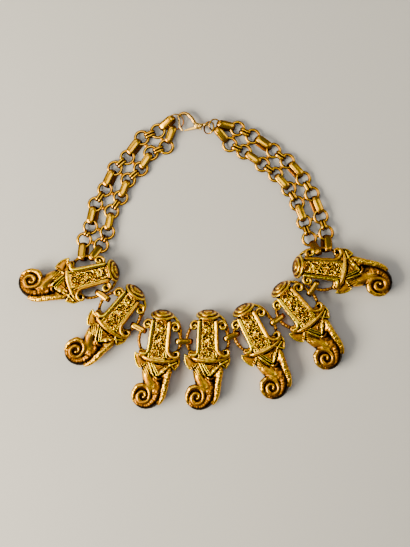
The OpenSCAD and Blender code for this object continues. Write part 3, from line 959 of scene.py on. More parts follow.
        rib = near([[7.9, -17.0], [7.2, -22.0], [6.4, -26.0], [6.0, -30.0], [5.6, -33.5], [4.8, -36.6],
                    [3.6, -39.0]], 1.3, 2.0)
        # Painted shade on the trunk's right flank and the curl's lower edge, as if lit from the left
        flank = near([[4.0, -23.5], [4.5, -27.5], [4.4, -32.0], [3.1, -37.0], [0.2, -41.0], [-4.0, -43.2],
                      [-9.0, -42.6]], 0.6, 2.7)
        # Painted shade on the trunk's tube
        tube = near([[1.9, -25.0], [2.0, -31.0], [0.8, -35.8], [-2.0, -39.4], [-6.0, -41.2],
                     [-10.0, -39.8]], 1.2, 3.3)
        # Painted highlight on the left bar's front, and painted shade on the right bar
        bar = near([[-5.3, 11.8], [-5.8, 0], [-6.3, -6], [-7.0, -8.2], [-9.0, -9.2]], 0.7, 1.5)
        rail = near([[5.2, 11.8], [5.55, 7.2], [5.7, 0], [5.8, -5.1], [6.6, -7.6]], 0.8, 1.4)
        throat = 1 - fade(np.hypot(x - 0.6, y + 24.6), 1.5, 4.2)
        # Painted shade that dims the highlight on the neck
        neck = 1 - fade(np.hypot(x + 6.0, (y + 26.0) * 0.8), 1.0, 3.6)
        outline = np.array([[-3.2, -13.6], [6.8, -13.8], [1.3, -21.4]])
        shield = 1 - fade(outline_distance(outline, x, y), -1.1, -0.2)
        ear = fade(-7.6 - x, 0, 0.8) * fade(y + 17.0, 0, 1.2) * fade(-10.8 - y, 0, 0.8)
        ear = ear * (1 - fade(z, 2.45, 2.65))
        side = fade(np.abs(x), 10.6, 11.6) * fade(6.6 - np.abs(y), 0, 0.8)
        cap = fade(y - 12.2, 0, 0.6)
        panel = fade(4.5 - np.abs(x), 0, 0.5) * fade(11.8 - y, 0, 0.6) * fade(y + 10.7, 0, 0.6)
        panel = panel * fade(z, 3.4, 4.0)
        trunk = (0.44 - 0.08 * fade(y, -38, -34)) * flank + 0.2 * tube
        head = (trunk + 0.24 * shield) * (1 - rib) - 0.01 * rib + 0.06 * throat + 0.14 * neck + 0.12 * ear
        console = panel * (0.2 - 0.3 * fade(z, 4.4, 5.3)) - 0.16 * bar * fade(z, 3.8, 4.6) + 0.07 * rail
        return head + console + 0.16 * side - 0.14 * cap


@dataclass
class Pendants:
    """The seven castings and where each one lies.

    Attributes:
        axis_z: Height of their long axes.
        rows: Middle of each console, its turn from hanging straight down, and its roll.
        casting: The casting that all of them are copies of.
    """

    axis_z: float = 7.15
    rows: Rows = ((-72.5, -9.9, -75.5, 0), (-53.3, -31.6, -38, 4), (-28.5, -49.0, -6, -2),
                  (1.2, -49.0, 0, 0), (30.4, -44.0, 28, -3), (56.4, -29.1, 41, -2), (72.5, -5.0, 85, 4))
    casting: Casting = field(default_factory=Casting)

    def place(self, row: Row, points: np.ndarray) -> np.ndarray:
        """Puts points of a casting's own frame into the row frame.

        Args:
            row: One of the rows.
            points: Points of the casting.

        Returns:
            The same points in the row frame, in millimetres.
        """
        turn, roll = math.radians(row[2]), math.radians(row[3])
        across = points[:, 0] * math.cos(roll) + points[:, 2] * math.sin(roll)
        above = points[:, 2] * math.cos(roll) - points[:, 0] * math.sin(roll)
        x = row[0] + across * math.cos(turn) - points[:, 1] * math.sin(turn)
        y = row[1] + across * math.sin(turn) + points[:, 1] * math.cos(turn)
        return np.stack([x, y, self.axis_z + above], 1) + MIDDLE

    def on_handle(self, index: int, side: int, at: float) -> np.ndarray:
        """A place on the middle line of a side handle, without the shift to the middle.

        Args:
            index: Which pendant.
            side: -1 on its left and 1 on its right.
            at: Degrees round the handle's arc, towards the cap.

        Returns:
            The place in millimetres.
        """
        cast, turn = self.casting, math.radians(at)
        reach = cast.handle_reach - cast.handle_r + cast.handle_r * math.cos(turn)
        own = np.array([[side * reach, cast.handle_r * math.sin(turn), 0.0]])
        return self.place(self.rows[index], own)[0] - MIDDLE

    def build(self) -> list[bpy.types.Object]:
        """Sculpts the casting once and lays its seven copies.

        Returns:
            The seven pieces.
        """
        points, faces, values = self.casting.sculpt()
        gold = CASTING_GOLD.material()
        made = []
        for number, row in enumerate(self.rows, 1):
            one = piece(f"casting_{number}", self.place(row, points), faces, values, gold)
            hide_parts(f"pendant_{number}")
            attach(one, Body.NECKLACE.value)
            made.append(one)
        return made


@dataclass(frozen=True)
class Section:
    """Section of a wire or a band.

    Attributes:
        half_width: Half its width, in millimetres.
        half_height: Half its thickness.
        sides: Points round it.
        groove: Share of the thickness that the groove along its middle takes.
        groove_width: Half the groove's width as a share of its own.
    """

    half_width: float
    half_height: float
    sides: int
    groove: float = 0.0
    groove_width: float = 1.0


@dataclass(frozen=True)
class LinkKind:
    """Sizes of one kind of link, in millimetres.

    Attributes:
        length: Its length over all.
        height: Its height over all.
        band: Thickness of its band.
        narrow: Share of its width at its ends.
        section: Its band's section.
    """

    length: float
    height: float
    band: float
    narrow: float
    section: Section


@dataclass
class Rails:
    """Middle lines of wire loops, with what the sweep needs at each of their points.

    Attributes:
        points: The places, in millimetres in the row frame without the shift to the middle.
        side: Directions across the wire that lie along its loop's own axis.
        out: Directions across the wire that lead out of its loop.
        girth: Shares of the full width.
        edges: Pairs of neighbouring points.
    """

    points: list[np.ndarray] = field(default_factory=list)
    side: list[np.ndarray] = field(default_factory=list)
    out: list[np.ndarray] = field(default_factory=list)
    girth: list[float] = field(default_factory=list)
    edges: list[tuple[int, int]] = field(default_factory=list)

    def loop(self, points: np.ndarray, side: np.ndarray, out: np.ndarray, girth: np.ndarray) -> None:
        """Adds one closed loop.

        Args:
            points: Its places.
            side: One direction for the whole loop, or one for each place.
            out: Its outward direction at each place.
            girth: The share of the full width at each place.
        """
        first, count = len(self.points), len(points)
        self.points.extend(points)
        self.side.extend(np.broadcast_to(side, (count, 3)))
        self.out.extend(out)
        self.girth.extend(girth)
        self.edges.extend((first + i, first + (i + 1) % count) for i in range(count))

    def link(self, middle: np.ndarray, pitch: float, turn: float, kind: LinkKind, slant: float) -> None:
        """Adds a link that stands upright along its pull.

        Args:
            middle: Its middle.
            pitch: Its lean up along its pull, in radians.
            turn: Its direction seen from above, in radians.
            kind: Its sizes.
            slant: How far its front band has slipped to its left over its back band.
        """
        mid_h, half = (kind.height - kind.band) / 2, (kind.length - kind.height) / 2
        shape = [(half + mid_h * math.cos(a), mid_h * math.sin(a), math.cos(a), math.sin(a))
                 for a in np.linspace(-math.pi / 2, math.pi / 2, 11)]
        shape += [(x, mid_h, 0.0, 1.0) for x in np.linspace(half, -half, 7)[1:-1]]
        # The rest of the loop is the same, turned by half a turn
        shape = np.concatenate([np.array(shape), -np.array(shape)])
        along = np.array([math.cos(turn) * math.cos(pitch), math.sin(turn) * math.cos(pitch),
                          math.sin(pitch)])
        up = np.array([-math.cos(turn) * math.sin(pitch), -math.sin(turn) * math.sin(pitch),
                       math.cos(pitch)])
        side = np.array([math.sin(turn), -math.cos(turn), 0.0])
        girth = 1 + (kind.narrow - 1) * fade(np.abs(shape[:, 0]), kind.length * 0.24, kind.length * 0.46)
        front = shape[:, 1] / mid_h
        places = (middle + np.outer(shape[:, 0], along) + np.outer(shape[:, 1], up)
                  + np.outer(slant * front, side))
        out = np.outer(shape[:, 2], along) + np.outer(shape[:, 3], up)
        roll = SLIP_ROLL * slant * np.clip(front, 0, 1)[:, None]
        sides = np.cos(roll) * side - np.sin(roll) * up
        out = np.cos(roll) * out + np.sin(roll) * side * np.clip(shape[:, 3:4], 0, 1)
        self.loop(places, sides, out, girth)

    def ring(self, centre: np.ndarray, radius: float, turn: float = 0.0, lean: float = 0.0, count: int = 44,
             shift: float = 0.0) -> None:
        """Adds a round ring.

        Args:
            centre: Its centre.
            radius: Radius of its wire's middle line.
            turn: Direction of its level diameter, in degrees.
            lean: Its lean from lying flat, in degrees.
            count: Points round it.
            shift: Its shift along its own axis.
        """
        t, tilt = math.radians(turn), math.radians(lean)
        first = np.array([math.cos(t), math.sin(t), 0.0])
        second = np.array([-math.sin(t) * math.cos(tilt), math.cos(t) * math.cos(tilt), math.sin(tilt)])
        axis = np.cross(first, second)
        angles = np.linspace(0, 2 * math.pi, count, endpoint=False)
        out = np.outer(np.cos(angles), first) + np.outer(np.sin(angles), second)
        self.loop(centre + shift * axis + radius * out, axis, out, np.ones(count))

    def sweep(self, name: str, section: Section, material: bpy.types.Material) -> bpy.types.Object:
        """Sweeps the wire's section along all loops with Geometry Nodes.

        Args:
            name: The piece's name.
            section: The wire's section.
            material: Its material.

        Returns:
            The piece, a plain mesh.
        """
        mesh = bpy.data.meshes.new(name)
        mesh.from_pydata(((np.array(self.points) + MIDDLE) * MM).tolist(), self.edges, [])
        for key, rows in (("side", self.side), ("out", self.out), ("girth", self.girth)):
            write_values(mesh, key, rows)
        return grown(name, mesh, wire_tree(), {
            "Half width": section.half_width * MM, "Half height": section.half_height * MM,
            "Groove": section.groove, "Groove width": section.groove_width, "Sides": section.sides,
            "Metal": material})


def grown(name: str, mesh: bpy.types.Mesh, tree: bpy.types.NodeTree, values: dict) -> bpy.types.Object:
    """Runs a geometry tree on a mesh and keeps what comes out as a plain mesh.

    Args:
        name: The object's name.
        mesh: What the tree starts from.
        tree: The tree.
        values: Its inputs, by name.

    Returns:
        The object, with no modifier left.
    """
    made = bpy.data.objects.new(name, mesh)
    bpy.context.scene.collection.objects.link(made)
    modifier = made.modifiers.new(name, "NODES")
    modifier.node_group = tree
    for item in tree.interface.items_tree:
        if item.name in values:
            modifier[item.identifier] = values[item.name]
    graph = bpy.context.evaluated_depsgraph_get()
    result = bpy.data.meshes.new_from_object(made.evaluated_get(graph))
    made.modifiers.clear()
    made.data = result
    return made


def new_tree(name: str, inputs: dict[str, str]) -> tuple[bpy.types.NodeTree, Sequence]:
    """Starts a geometry node tree.

    Args:
        name: Its name.
        inputs: The kind of each input, by the input's name.

    Returns:
        The tree and the sockets that its inputs come from.
    """
    tree = bpy.data.node_groups.new(name, "GeometryNodeTree")
    for key, kind in inputs.items():
        tree.interface.new_socket(key, in_out="INPUT", socket_type=f"NodeSocket{kind}")
    tree.interface.new_socket("Result", in_out="OUTPUT", socket_type="NodeSocketGeometry")
    return tree, add_node(tree, "NodeGroupInput").outputs


def store(tree: bpy.types.NodeTree, geometry: object, name: str, value: object,
          kind: str) -> bpy.types.Node:
    """Adds a node that stores a value for each point of a geometry."""
    return add_node(tree, "GeometryNodeStoreNamedAttribute",
                    {"Geometry": geometry, "Name": name, "Value": value}, data_type=kind, domain="POINT")


def finish_tree(tree: bpy.types.NodeTree, geometry: object, wash_and_shade: object, metal: object) -> None:
    """Ends a tree: stores the values of wash and painted shade, shades smooth and sets the metal.

    Args:
        tree: The tree.
        geometry: The finished shape.
        wash_and_shade: How much wash and painted shade each point takes.
        metal: The material.
    """
    soft = add_node(tree, "GeometryNodeSetShadeSmooth",
                    {"Geometry": store(tree, geometry, "wash_and_shade", wash_and_shade, "FLOAT")})
    dressed = add_node(tree, "GeometryNodeSetMaterial", {"Geometry": soft, "Material": metal})
    add_node(tree, "NodeGroupOutput", {0: dressed})


def wire_tree() -> bpy.types.NodeTree:
    """Builds the node tree that sweeps a wire's section along loops.

    Returns:
        The tree, whose sizes are its named inputs.
    """
    known = bpy.data.node_groups.get("swept_wire")
    if known:
        return known
    tree, given = new_tree("swept_wire", {
        "Loops": "Geometry", "Half width": "Float", "Half height": "Float", "Groove": "Float",
        "Groove width": "Float", "Sides": "Int", "Metal": "Material"})
    place = add_node(tree, "GeometryNodeInputPosition")
    rail = add_node(tree, "GeometryNodeMeshToCurve",
                    {0: store(tree, given["Loops"], "centre", place, "FLOAT_VECTOR")})
    section = add_node(tree, "GeometryNodeCurvePrimitiveCircle",
                       {"Resolution": given["Sides"], "Radius": 1.0}, mode="RADIUS")
    own = store(tree, section, "section", place, "FLOAT_VECTOR")
    swept = add_node(tree, "GeometryNodeCurveToMesh", {"Curve": rail, "Profile Curve": own})
    read = {key: add_node(tree, "GeometryNodeInputNamedAttribute", {"Name": key}, data_type="FLOAT_VECTOR")
            for key in ("centre", "side", "out", "section")}
    girth = add_node(tree, "GeometryNodeInputNamedAttribute", {"Name": "girth"}, data_type="FLOAT")
    split = add_node(tree, "ShaderNodeSeparateXYZ", {0: read["section"]}).outputs
    share = math_node(tree, "DIVIDE", split[0], given["Groove width"])
    square = math_node(tree, "MULTIPLY", share, share)
    hollow = math_node(tree, "MAXIMUM", math_node(tree, "SUBTRACT", 1.0, square), 0.0)
    low = math_node(tree, "MULTIPLY", given["Groove"], math_node(tree, "MULTIPLY", hollow, hollow))
    high = math_node(tree, "MULTIPLY", split[1], math_node(tree, "SUBTRACT", 1.0, low))
    across = math_node(tree, "MULTIPLY", math_node(tree, "MULTIPLY", split[0], given["Half width"]), girth)
    rise = math_node(tree, "MULTIPLY", math_node(tree, "MULTIPLY", high, given["Half height"]), girth)
    aside = vector_node(tree, "SCALE", read["side"], Scale=across)
    outwards = vector_node(tree, "SCALE", read["out"], Scale=rise)
    spot = vector_node(tree, "ADD", read["centre"], vector_node(tree, "ADD", aside, outwards))
    shaped = add_node(tree, "GeometryNodeSetPosition", {"Geometry": swept, "Position": spot})
    # Darker in the groove and on the inner side of each loop
    inner = math_node(tree, "MAXIMUM", math_node(tree, "MULTIPLY", split[1], -1.0), 0.0)
    deep = math_node(tree, "MULTIPLY_ADD", low, 1.35, math_node(tree, "MULTIPLY_ADD", inner, 0.45, 0.14))
    up = add_node(tree, "ShaderNodeSeparateXYZ", {0: add_node(tree, "GeometryNodeInputNormal")}).outputs[2]
    # Painted shade on the sides of the wire that face down or sideways
    lower = math_node(tree, "MAXIMUM", math_node(tree, "SUBTRACT", 0.84, up), 0.0)
    # Painted shade where the narrowed ends of the links wrap round the wires that they hold
    ends = math_node(tree, "MULTIPLY_ADD", math_node(tree, "SUBTRACT", 1.0, girth), 0.25, deep)
    finish_tree(tree, shaped, math_node(tree, "ADD", lower, ends), given["Metal"])
    return tree


def solder_tree() -> bpy.types.NodeTree:
    """Builds the node tree that sets a bead of solder on each point.

    Returns:
        The tree, whose bead size and metal are its named inputs.
    """
    tree, given = new_tree("solder_beads", {"Places": "Geometry", "Size": "Vector", "Metal": "Material"})
    bead = add_node(tree, "GeometryNodeMeshIcoSphere", {"Radius": 1.0, "Subdivisions": 3})
    turn = add_node(tree, "GeometryNodeInputNamedAttribute", {"Name": "turn"}, data_type="FLOAT")
    spin = add_node(tree, "ShaderNodeCombineXYZ", {"Z": turn})
    facing = add_node(tree, "FunctionNodeEulerToRotation", {0: spin})
    laid = add_node(tree, "GeometryNodeInstanceOnPoints", {
        "Points": given["Places"], "Instance": bead, "Rotation": facing, "Scale": given["Size"]})
    real = add_node(tree, "GeometryNodeRealizeInstances", {"Geometry": laid})
    finish_tree(tree, real, 0.3, given["Metal"])
    return tree


@dataclass
class Chain:
    """The connector links between the pendants and the double chain up each side.

    Attributes:
        pendants: The pendants whose handles it holds.
        ring_od: Outer diameter of one ring of a twin ring.
        ring_wire: Wire diameter of a twin ring.
        ring_z: Height of its wire where it lies flat.
        pitch: Distance between the centres of a twin ring's rings.
        connectors: Degrees round the handles and slide of each connector link.
        left: Middle, turn and lift of each twin ring on the left.
        right: The same on the right.
        handles: Degrees round the end pendants' handles, left then right, outer then inner.
        handle_slides: How far those links have slid.
        catch_ring: Centre, turn, lean, radius and wire radius.
        tail_ring: The same.
        end_ring: The same.
        clasp_at: Degrees round the catch ring and the end ring, outer then inner.
        clasp_slides: How far those links have slid.
        wide: Sizes of a side chain's wide link.
        connector: Sizes of a connector link.
        small: Sizes of the small double ring that joins two twin rings.
        ring_section: Section of a twin ring's wire.
        ring_inset: How far its middle line lies inside the middle of the CAD's.
        solder: Half the length, width and height of a solder neck.
        wire_sides: Points round the wire of the rings at the clasp.
        turn_gap: Distance between the two turns of the tail ring, as a share of the wire.
    """

    pendants: Pendants
    ring_od: float = 9.9
    ring_wire: float = 1.3
    ring_z: float = 1.95
    pitch: float = 11.0
    connectors: Rows = ((22, 8, 0), (-5, 27, 0), (3, -4, 0), (8, 22, 0), (0, 12, 0.8), (10, 25, 1.0))
    left: Rows = ((-27.4, 76.1, 118, 0), (-37.2, 72.0, 121, 0), (-44.9, 61.0, 139, 0),
                  (-52.7, 54.1, 138, 0), (-58.1, 42.1, 152, 0), (-63.9, 33.1, 156, 0),
                  (-66.7, 19.7, 163, 0.4), (-70.3, 11.4, 163, 3.1))
    right: Rows = ((17.2, 77.6, 64, 0), (26.4, 72.9, 61, 0), (38.6, 64.5, 51, 0), (47.0, 58.1, 49, 0),
                   (56.1, 48.1, 35, 0), (61.4, 38.9, 32, 0), (66.3, 26.0, 18, 0.55), (69.5, 15.6, 19, 1.5))
    handles: Rows = ((-2, 27.5), (-5.5, 26))
    handle_slides: Rows = ((-0.1, -0.55), (-0.45, 1.0))
    catch_ring: Row = (-18.85, 86.67, 3.2, 188.8, -20, 4.73, 0.35)
    tail_ring: Row = (1.82, 82.88, 4.18, 78.1, -40, 3.79, 0.35)
    end_ring: Row = (5.39, 84.47, 4.73, 52.4, 27.6, 3.6, 0.45)
    clasp_at: Rows = ((-3.6, 59), (310.7, 248))
    clasp_slides: Rows = ((-1.31, 0.16), (0.2, 0.09))
    wide: LinkKind = LinkKind(12.7, 4.8, 1.5, 0.68, Section(2.4, 0.76, 22))
    connector: LinkKind = LinkKind(11.2, 4.8, 1.0, 0.92, Section(1.75, 0.62, 18))
    small: LinkKind = LinkKind(7.5, 4.4, 1.2, 0.94, Section(2.0, 0.74, 20, 0.9, 0.22))
    ring_section: Section = Section(0.82, 0.94, 16)
    ring_inset: float = 0.24
    solder: Row = (1.5, 1.15, 0.52)
    wire_sides: int = 14
    turn_gap: float = 0.85

    def ring_centre(self, row: Row, strand: Strand) -> np.ndarray:
        """Centre of one ring of a twin ring."""
        turn = math.radians(row[2])
        return (np.array([row[0], row[1], self.ring_z + row[3]])
                + strand.value * self.pitch * np.array([math.cos(turn), math.sin(turn), 0.0]))

    def towards(self, centre: np.ndarray, place: np.ndarray) -> np.ndarray:
        """The place on a flat ring's wire that faces another place."""
        way = np.array([place[0] - centre[0], place[1] - centre[1], 0.0])
        return centre + (self.ring_od - self.ring_wire) / 2 * way / np.linalg.norm(way)

    @staticmethod
    def on_ring(row: Row, at: float) -> np.ndarray:
        """A place on the wire of a leaning ring.

        Args:
            row: The ring's centre, turn, lean and radius.
            at: Degrees round it from its level diameter.

        Returns:
            The place in millimetres.
        """
        angle, turn, lean = math.radians(at), math.radians(row[3]), math.radians(row[4])
        x, y = row[5] * math.cos(angle), row[5] * math.sin(angle) * math.cos(lean)
        return np.array([row[0] + x * math.cos(turn) - y * math.sin(turn),
                         row[1] + x * math.sin(turn) + y * math.cos(turn),
                         row[2] + row[5] * math.sin(angle) * math.sin(lean)])

    @staticmethod
    def between(rails: Rails, ends: tuple[np.ndarray, np.ndarray], kind: LinkKind, slide: float = 0.0,
                slant: float = 0.0) -> None:
        """Adds a link between the two wires that it holds, above the table.

        Args:
            rails: The loops that it is added to.
            ends: The places on the two wires.
            kind: The link's sizes.
            slide: How far it has slid along itself.
            slant: How far its front band has slipped sideways over its back band.
        """
        way = ends[1] - ends[0]
        size = float(np.linalg.norm(way))
        pitch = math.asin(way[2] / size)
        middle = (ends[0] + ends[1]) / 2 + slide * way / size
        middle[2] = max(middle[2], kind.height / 2 + (kind.length - kind.height) / 2 * abs(math.sin(pitch)))
        rails.link(middle, pitch, math.atan2(way[1], way[0]), kind, slant)

    def span_ends(self, side: int, strand: Strand, span: int) -> tuple[np.ndarray, np.ndarray]:
        """The two places between which a wide link pulls.

        Args:
            side: 0 on the left and 1 on the right.
            strand: Outer or inner strand.
            span: Its number from the clasp down, from 0 to 4.

        Returns:
            The upper and the lower place.
        """
        rows = (self.left, self.right)[side]
        number = 0 if strand is Strand.OUTER else 1
        if span > 0:
            above = self.ring_centre(rows[2 * span - 1], strand)
        else:
            above = self.on_ring((self.catch_ring, self.end_ring)[side], self.clasp_at[side][number])
        if span < 4:
            below = self.ring_centre(rows[2 * span], strand)
        else:
            below = self.pendants.on_handle((0, 6)[side], (-1, 1)[side], self.handles[side][number])
        return (self.towards(above, below) if span > 0 else above,
                self.towards(below, above) if span < 4 else below)

    def wide_links(self, gold: bpy.types.Material) -> bpy.types.Object:
        """Makes the broad crowned links of the side chains.

        Args:
            gold: Their material.

        Returns:
            The piece.
        """
        rails = Rails()
        for side in (0, 1):
            for number, strand in enumerate(Strand):
                slides = (self.clasp_slides[side][number], 0.0, 0.0, 0.0, self.handle_slides[side][number])
                for span, slide in enumerate(slides):
                    slant = (1 - 2 * side) * (1 - number) * (0.5 if span == 0 else 1.0)
                    self.between(rails, self.span_ends(side, strand, span), self.wide, slide, slant)
        made = rails.sweep("wide_links", self.wide.section, gold)
        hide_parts(*[f"wide_link_{s}_{t}_{n}" for s in ("left", "right") for t in ("outer", "inner")
                            for n in range(1, 6)])
        return made

    def connector_links(self, gold: bpy.types.Material) -> bpy.types.Object:
        """Makes the links between neighbouring pendants.

        Args:
            gold: Their material.

        Returns:
            The piece.
        """
        rails = Rails()
        for index, row in enumerate(self.connectors):
            ends = (self.pendants.on_handle(index, 1, row[0]),
                    self.pendants.on_handle(index + 1, -1, row[1]))
            self.between(rails, ends, self.connector, row[2])
        made = rails.sweep("connector_links", self.connector.section, gold)
        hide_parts(*[f"connector_{n}" for n in range(1, 7)])
        return made

    def small_rings(self, gold: bpy.types.Material) -> bpy.types.Object:
        """Makes the small double rings that join the two twin rings of a cluster.

        Args:
            gold: Their material.

        Returns:
            The piece.
        """
        rails = Rails()
        for rows in (self.left, self.right):
            for cluster in range(4):
                for strand in Strand:
                    above = self.ring_centre(rows[2 * cluster], strand)
                    below = self.ring_centre(rows[2 * cluster + 1], strand)
                    ends = (self.towards(above, below), self.towards(below, above))
                    self.between(rails, ends, self.small)
        made = rails.sweep("small_double_rings", self.small.section, gold)
        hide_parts(*[f"small_rings_{s}_{p}" for s in ("left", "right") for p in ("upper", "lower")])
        return made

    def twin_rings(self, gold: bpy.types.Material) -> bpy.types.Object:
        """Makes the pairs of flat rings.

        Args:
            gold: Their material.

        Returns:
            The piece.
        """
        rails = Rails()
        radius = (self.ring_od - self.ring_wire) / 2 - self.ring_inset
        for row in (*self.left, *self.right):
            for strand in Strand:
                rails.ring(self.ring_centre(row, strand), radius)
        made = rails.sweep("twin_rings", self.ring_section, gold)
        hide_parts(*[f"twin_ring_{s}_{n}" for s in ("left", "right") for n in range(1, 9)])
        return made

    def solder_necks(self, gold: bpy.types.Material) -> bpy.types.Object:
        """Makes the solder between the rings of each pair.

        Args:
            gold: Its material.

        Returns:
            The piece.
        """
        rows = np.array([(x, y, self.ring_z + lift, math.radians(turn))
                         for x, y, turn, lift in (*self.left, *self.right)])
        mesh = bpy.data.meshes.new("solder_necks")
        mesh.from_pydata(((rows[:, :3] + MIDDLE) * MM).tolist(), [], [])
        write_values(mesh, "turn", rows[:, 3])
        size = tuple(half * MM for half in self.solder)
        return grown("solder_necks", mesh, solder_tree(), {"Size": size, "Metal": gold})

    def round_rings(self, gold: bpy.types.Material) -> list[bpy.types.Object]:
        """Makes the catch ring, the double tail ring and the end ring at the clasp.

        Args:
            gold: Their material.

        Returns:
            The pieces.
        """
        made = []
        for name, row, wires in (("catch_ring", self.catch_ring, 1), ("tail_ring", self.tail_ring, 2),
                                 ("end_ring", self.end_ring, 1)):
            rails = Rails()
            for wire in range(wires):
                shift = (2 * wire + 1 - wires) * self.turn_gap * row[6]
                rails.ring(np.array(row[:3]), row[5], row[3], row[4], 48, shift)
            one = rails.sweep(f"{name}_wire", Section(row[6], row[6], self.wire_sides), gold)
            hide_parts(name)
            made.append(one)
        return made

    def build(self) -> list[bpy.types.Object]:
        """Makes every piece of the chain.

        Returns:
            The pieces.
        """
        gold = CHAIN_GOLD.material()
        made = [self.wide_links(gold), self.connector_links(gold), self.small_rings(gold),
                self.twin_rings(gold), self.solder_necks(gold), *self.round_rings(gold)]
        for one in made:
            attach(one, Body.NECKLACE.value)
        return made


@dataclass
class Clasp:
    """Lobster clasp: body with its hook and tail eye, and the sprung lever on its pin.

    Attributes:
        z: Height of its middle plane.
        hook: Middle line of the hook, from the shoulder to its open end.
        pivot: Place of the pin.
        lever_turn: Direction of the lever, in degrees.
        tail_eye: Centre of the tail eye.
        lever_half: Half the lever's thickness.
    """

    z: float = 3.13
    hook: Rows = ((-6.6, 84.4), (-7.4, 86.6), (-8.9, 88.9), (-11, 91), (-13.3, 92), (-15.5, 91.6),
                  (-17.28, 90.1), (-16.6, 88), (-16.64, 85.6), (-16.25, 83.3), (-14.68, 81.38))
    pivot: tuple[float, float] = (-4.7, 83.7)
    lever_turn: float = 195.6
    tail_eye: tuple[float, float, float] = (-0.3, 84.9, 2.3)
    lever_half: float = 0.58

    def body(self, gold: bpy.types.Material) -> bpy.types.Object:
        """Sculpts the forked body with its hook and tail eye.

        Args:
            gold: Its material.

        Returns:
            The piece.
        """
        wax = Wax([-19.6, 79.4, -0.4], [3.2, 94.0, 5.8], 0.14)
        girth = np.interp(range(11), [0, 2, 4, 5, 6, 7, 10], [1.2, 1.2, 1.05, 0.9, 0.7, 0.62, 0.56])
        wax.rod([[x, y, self.z, r] for (x, y), r in zip(self.hook, girth)], blend=0.3)
        wax.rod([[-8.0, 86.0, self.z + 1.15, 0.22], [-9.2, 88.1, self.z + 1.1, 0.26],
                 [-11.1, 90.1, self.z + 1.05, 0.26], [-13.3, 91.2, self.z + 0.95, 0.22]], blend=0.12,
                cut=True)
        wax.plate([[-7.7, 84.3], [-7.4, 85.9], [-6.2, 86.3], [-4.6, 85.8], [-3.0, 85.5], [-1.7, 85.6],
                   [-1.7, 84.3], [-2.3, 83.5], [-3.6, 82.2], [-5.6, 82.0], [-7.1, 82.8]], self.z - 1.58,
                  self.z + 1.58, edge=1.15, blend=0.6, round_to=4)
        wax.drill([*self.pivot, self.z + 1.6], [0, 0, 1], [0.8, -0.35], [1.05, 0.6], blend=0.15)
        ring = [[1.8 + 0.42 * math.cos(a), 0.66 * math.sin(a)]
                for a in np.linspace(0, 2 * math.pi, 14, endpoint=False)]
        wax.turned(self.tail_eye, [0, 1, 0], ring, blend=0.5)
        fork = ((1.2, 1.6), (-1.7, 1.6), (-3.7, 2.1), (-8, 2.9), (-9, 0), (-6, -5), (3.4, -5), (3.4, -0.8),
                (1.9, 0.2))
        wax.plate([[self.pivot[0] + x, self.pivot[1] + y] for x, y in fork], self.z - 0.8, self.z + 0.8,
                  edge=0.1, blend=0.15, cut=True)
        wax.drill([*self.pivot, self.z], [0, 0, 1], [0.6, -3], [0.6, 3], blend=0.1)
        wax.drill(self.tail_eye, [0, 1, 0], [1.38, -2], [1.38, 2], blend=0.1)
        points, faces = wax.skin(0.01)
        made = piece("clasp_frame", points + MIDDLE, faces, {"wash_and_shade": wax.wash_and_shade(points)}, gold)
        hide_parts("clasp_body")
        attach(made, Body.NECKLACE.value)
        return made

    def lever(self, gold: bpy.types.Material) -> bpy.types.Object:
        """Sculpts the lever with its thumb nub.

        Args:
            gold: Its material.

        Returns:
            The piece.
        """
        turn = math.radians(self.lever_turn)
        low, high = self.z - self.lever_half, self.z + self.lever_half
        wax = Wax([-16, 79.6, 1.5], [-1.6, 87, 5.4], 0.12)

        def placed(x: float, y: float) -> list[float]:
            """A place of the lever's own plane."""
            return [self.pivot[0] + x * math.cos(turn) - y * math.sin(turn),
                    self.pivot[1] + x * math.sin(turn) + y * math.cos(turn)]

        bar = ((0, -0.95), (8.3, -0.5), (9.25, -0.15), (9.25, 0.55), (4, 1.0), (-0.6, 1.3))
        wax.plate([placed(x, y) for x, y in bar], low, high, edge=0.3, blend=0.2)
        wax.plate(circle(self.pivot, 1.36), low, high, edge=0.25, blend=0.3)
        nub = ((-0.4, 0.8), (-1.55, 1.25), (-1.55, 2.5), (-0.45, 2.45), (0.85, 1.1))
        wax.plate([placed(x, y) for x, y in nub], low, high, edge=0.3, blend=0.3)
        wax.drill([*self.pivot, self.z], [0, 0, 1], [0.68, -2], [0.68, 2], blend=0.05)
        points, faces = wax.skin(0.01)
        made = piece("sprung_lever", points + MIDDLE, faces, {"wash_and_shade": wax.wash_and_shade(points)}, gold)
        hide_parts("clasp_lever")
        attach(made, Body.LEVER.value)
        return made

    def build(self) -> list[bpy.types.Object]:
        """Makes the clasp's pieces and dresses its pin.

        Returns:
            The pieces.
        """
        gold = CLASP_GOLD.material()
        made = [self.body(gold), self.lever(gold)]
        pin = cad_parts["clasp_pin"]
        if not pin.material_slots:
            pin.data.materials.append(gold)
        for slot in pin.material_slots:
            slot.material = gold
        return made


@dataclass(frozen=True)
class Light:
    """A soft studio light.

    Attributes:
        name: Its name.
        place: Where it hangs, in metres.
        size: Width and height of its face, in metres.
        power: Its power in watts.
        colour: Its colour.
    """

    name: str
    place: tuple[float, float, float]
    size: tuple[float, float]
    power: float
    colour: str

    def hang(self, aim: Vector) -> None:
        """Hangs the light and turns it to a place.

        Args:
            aim: The place that it shines on.
        """
        lamp = bpy.data.lights.new(self.name, "AREA")
        lamp.shape = "RECTANGLE"
        lamp.size, lamp.size_y = self.size
        lamp.energy = self.power
        lamp.color = linear(self.colour)[:3]
        made = bpy.data.objects.new(self.name, lamp)
        made.location = self.place
        made.rotation_euler = (aim - Vector(self.place)).to_track_quat("-Z", "Y").to_euler()
        bpy.context.scene.collection.objects.link(made)


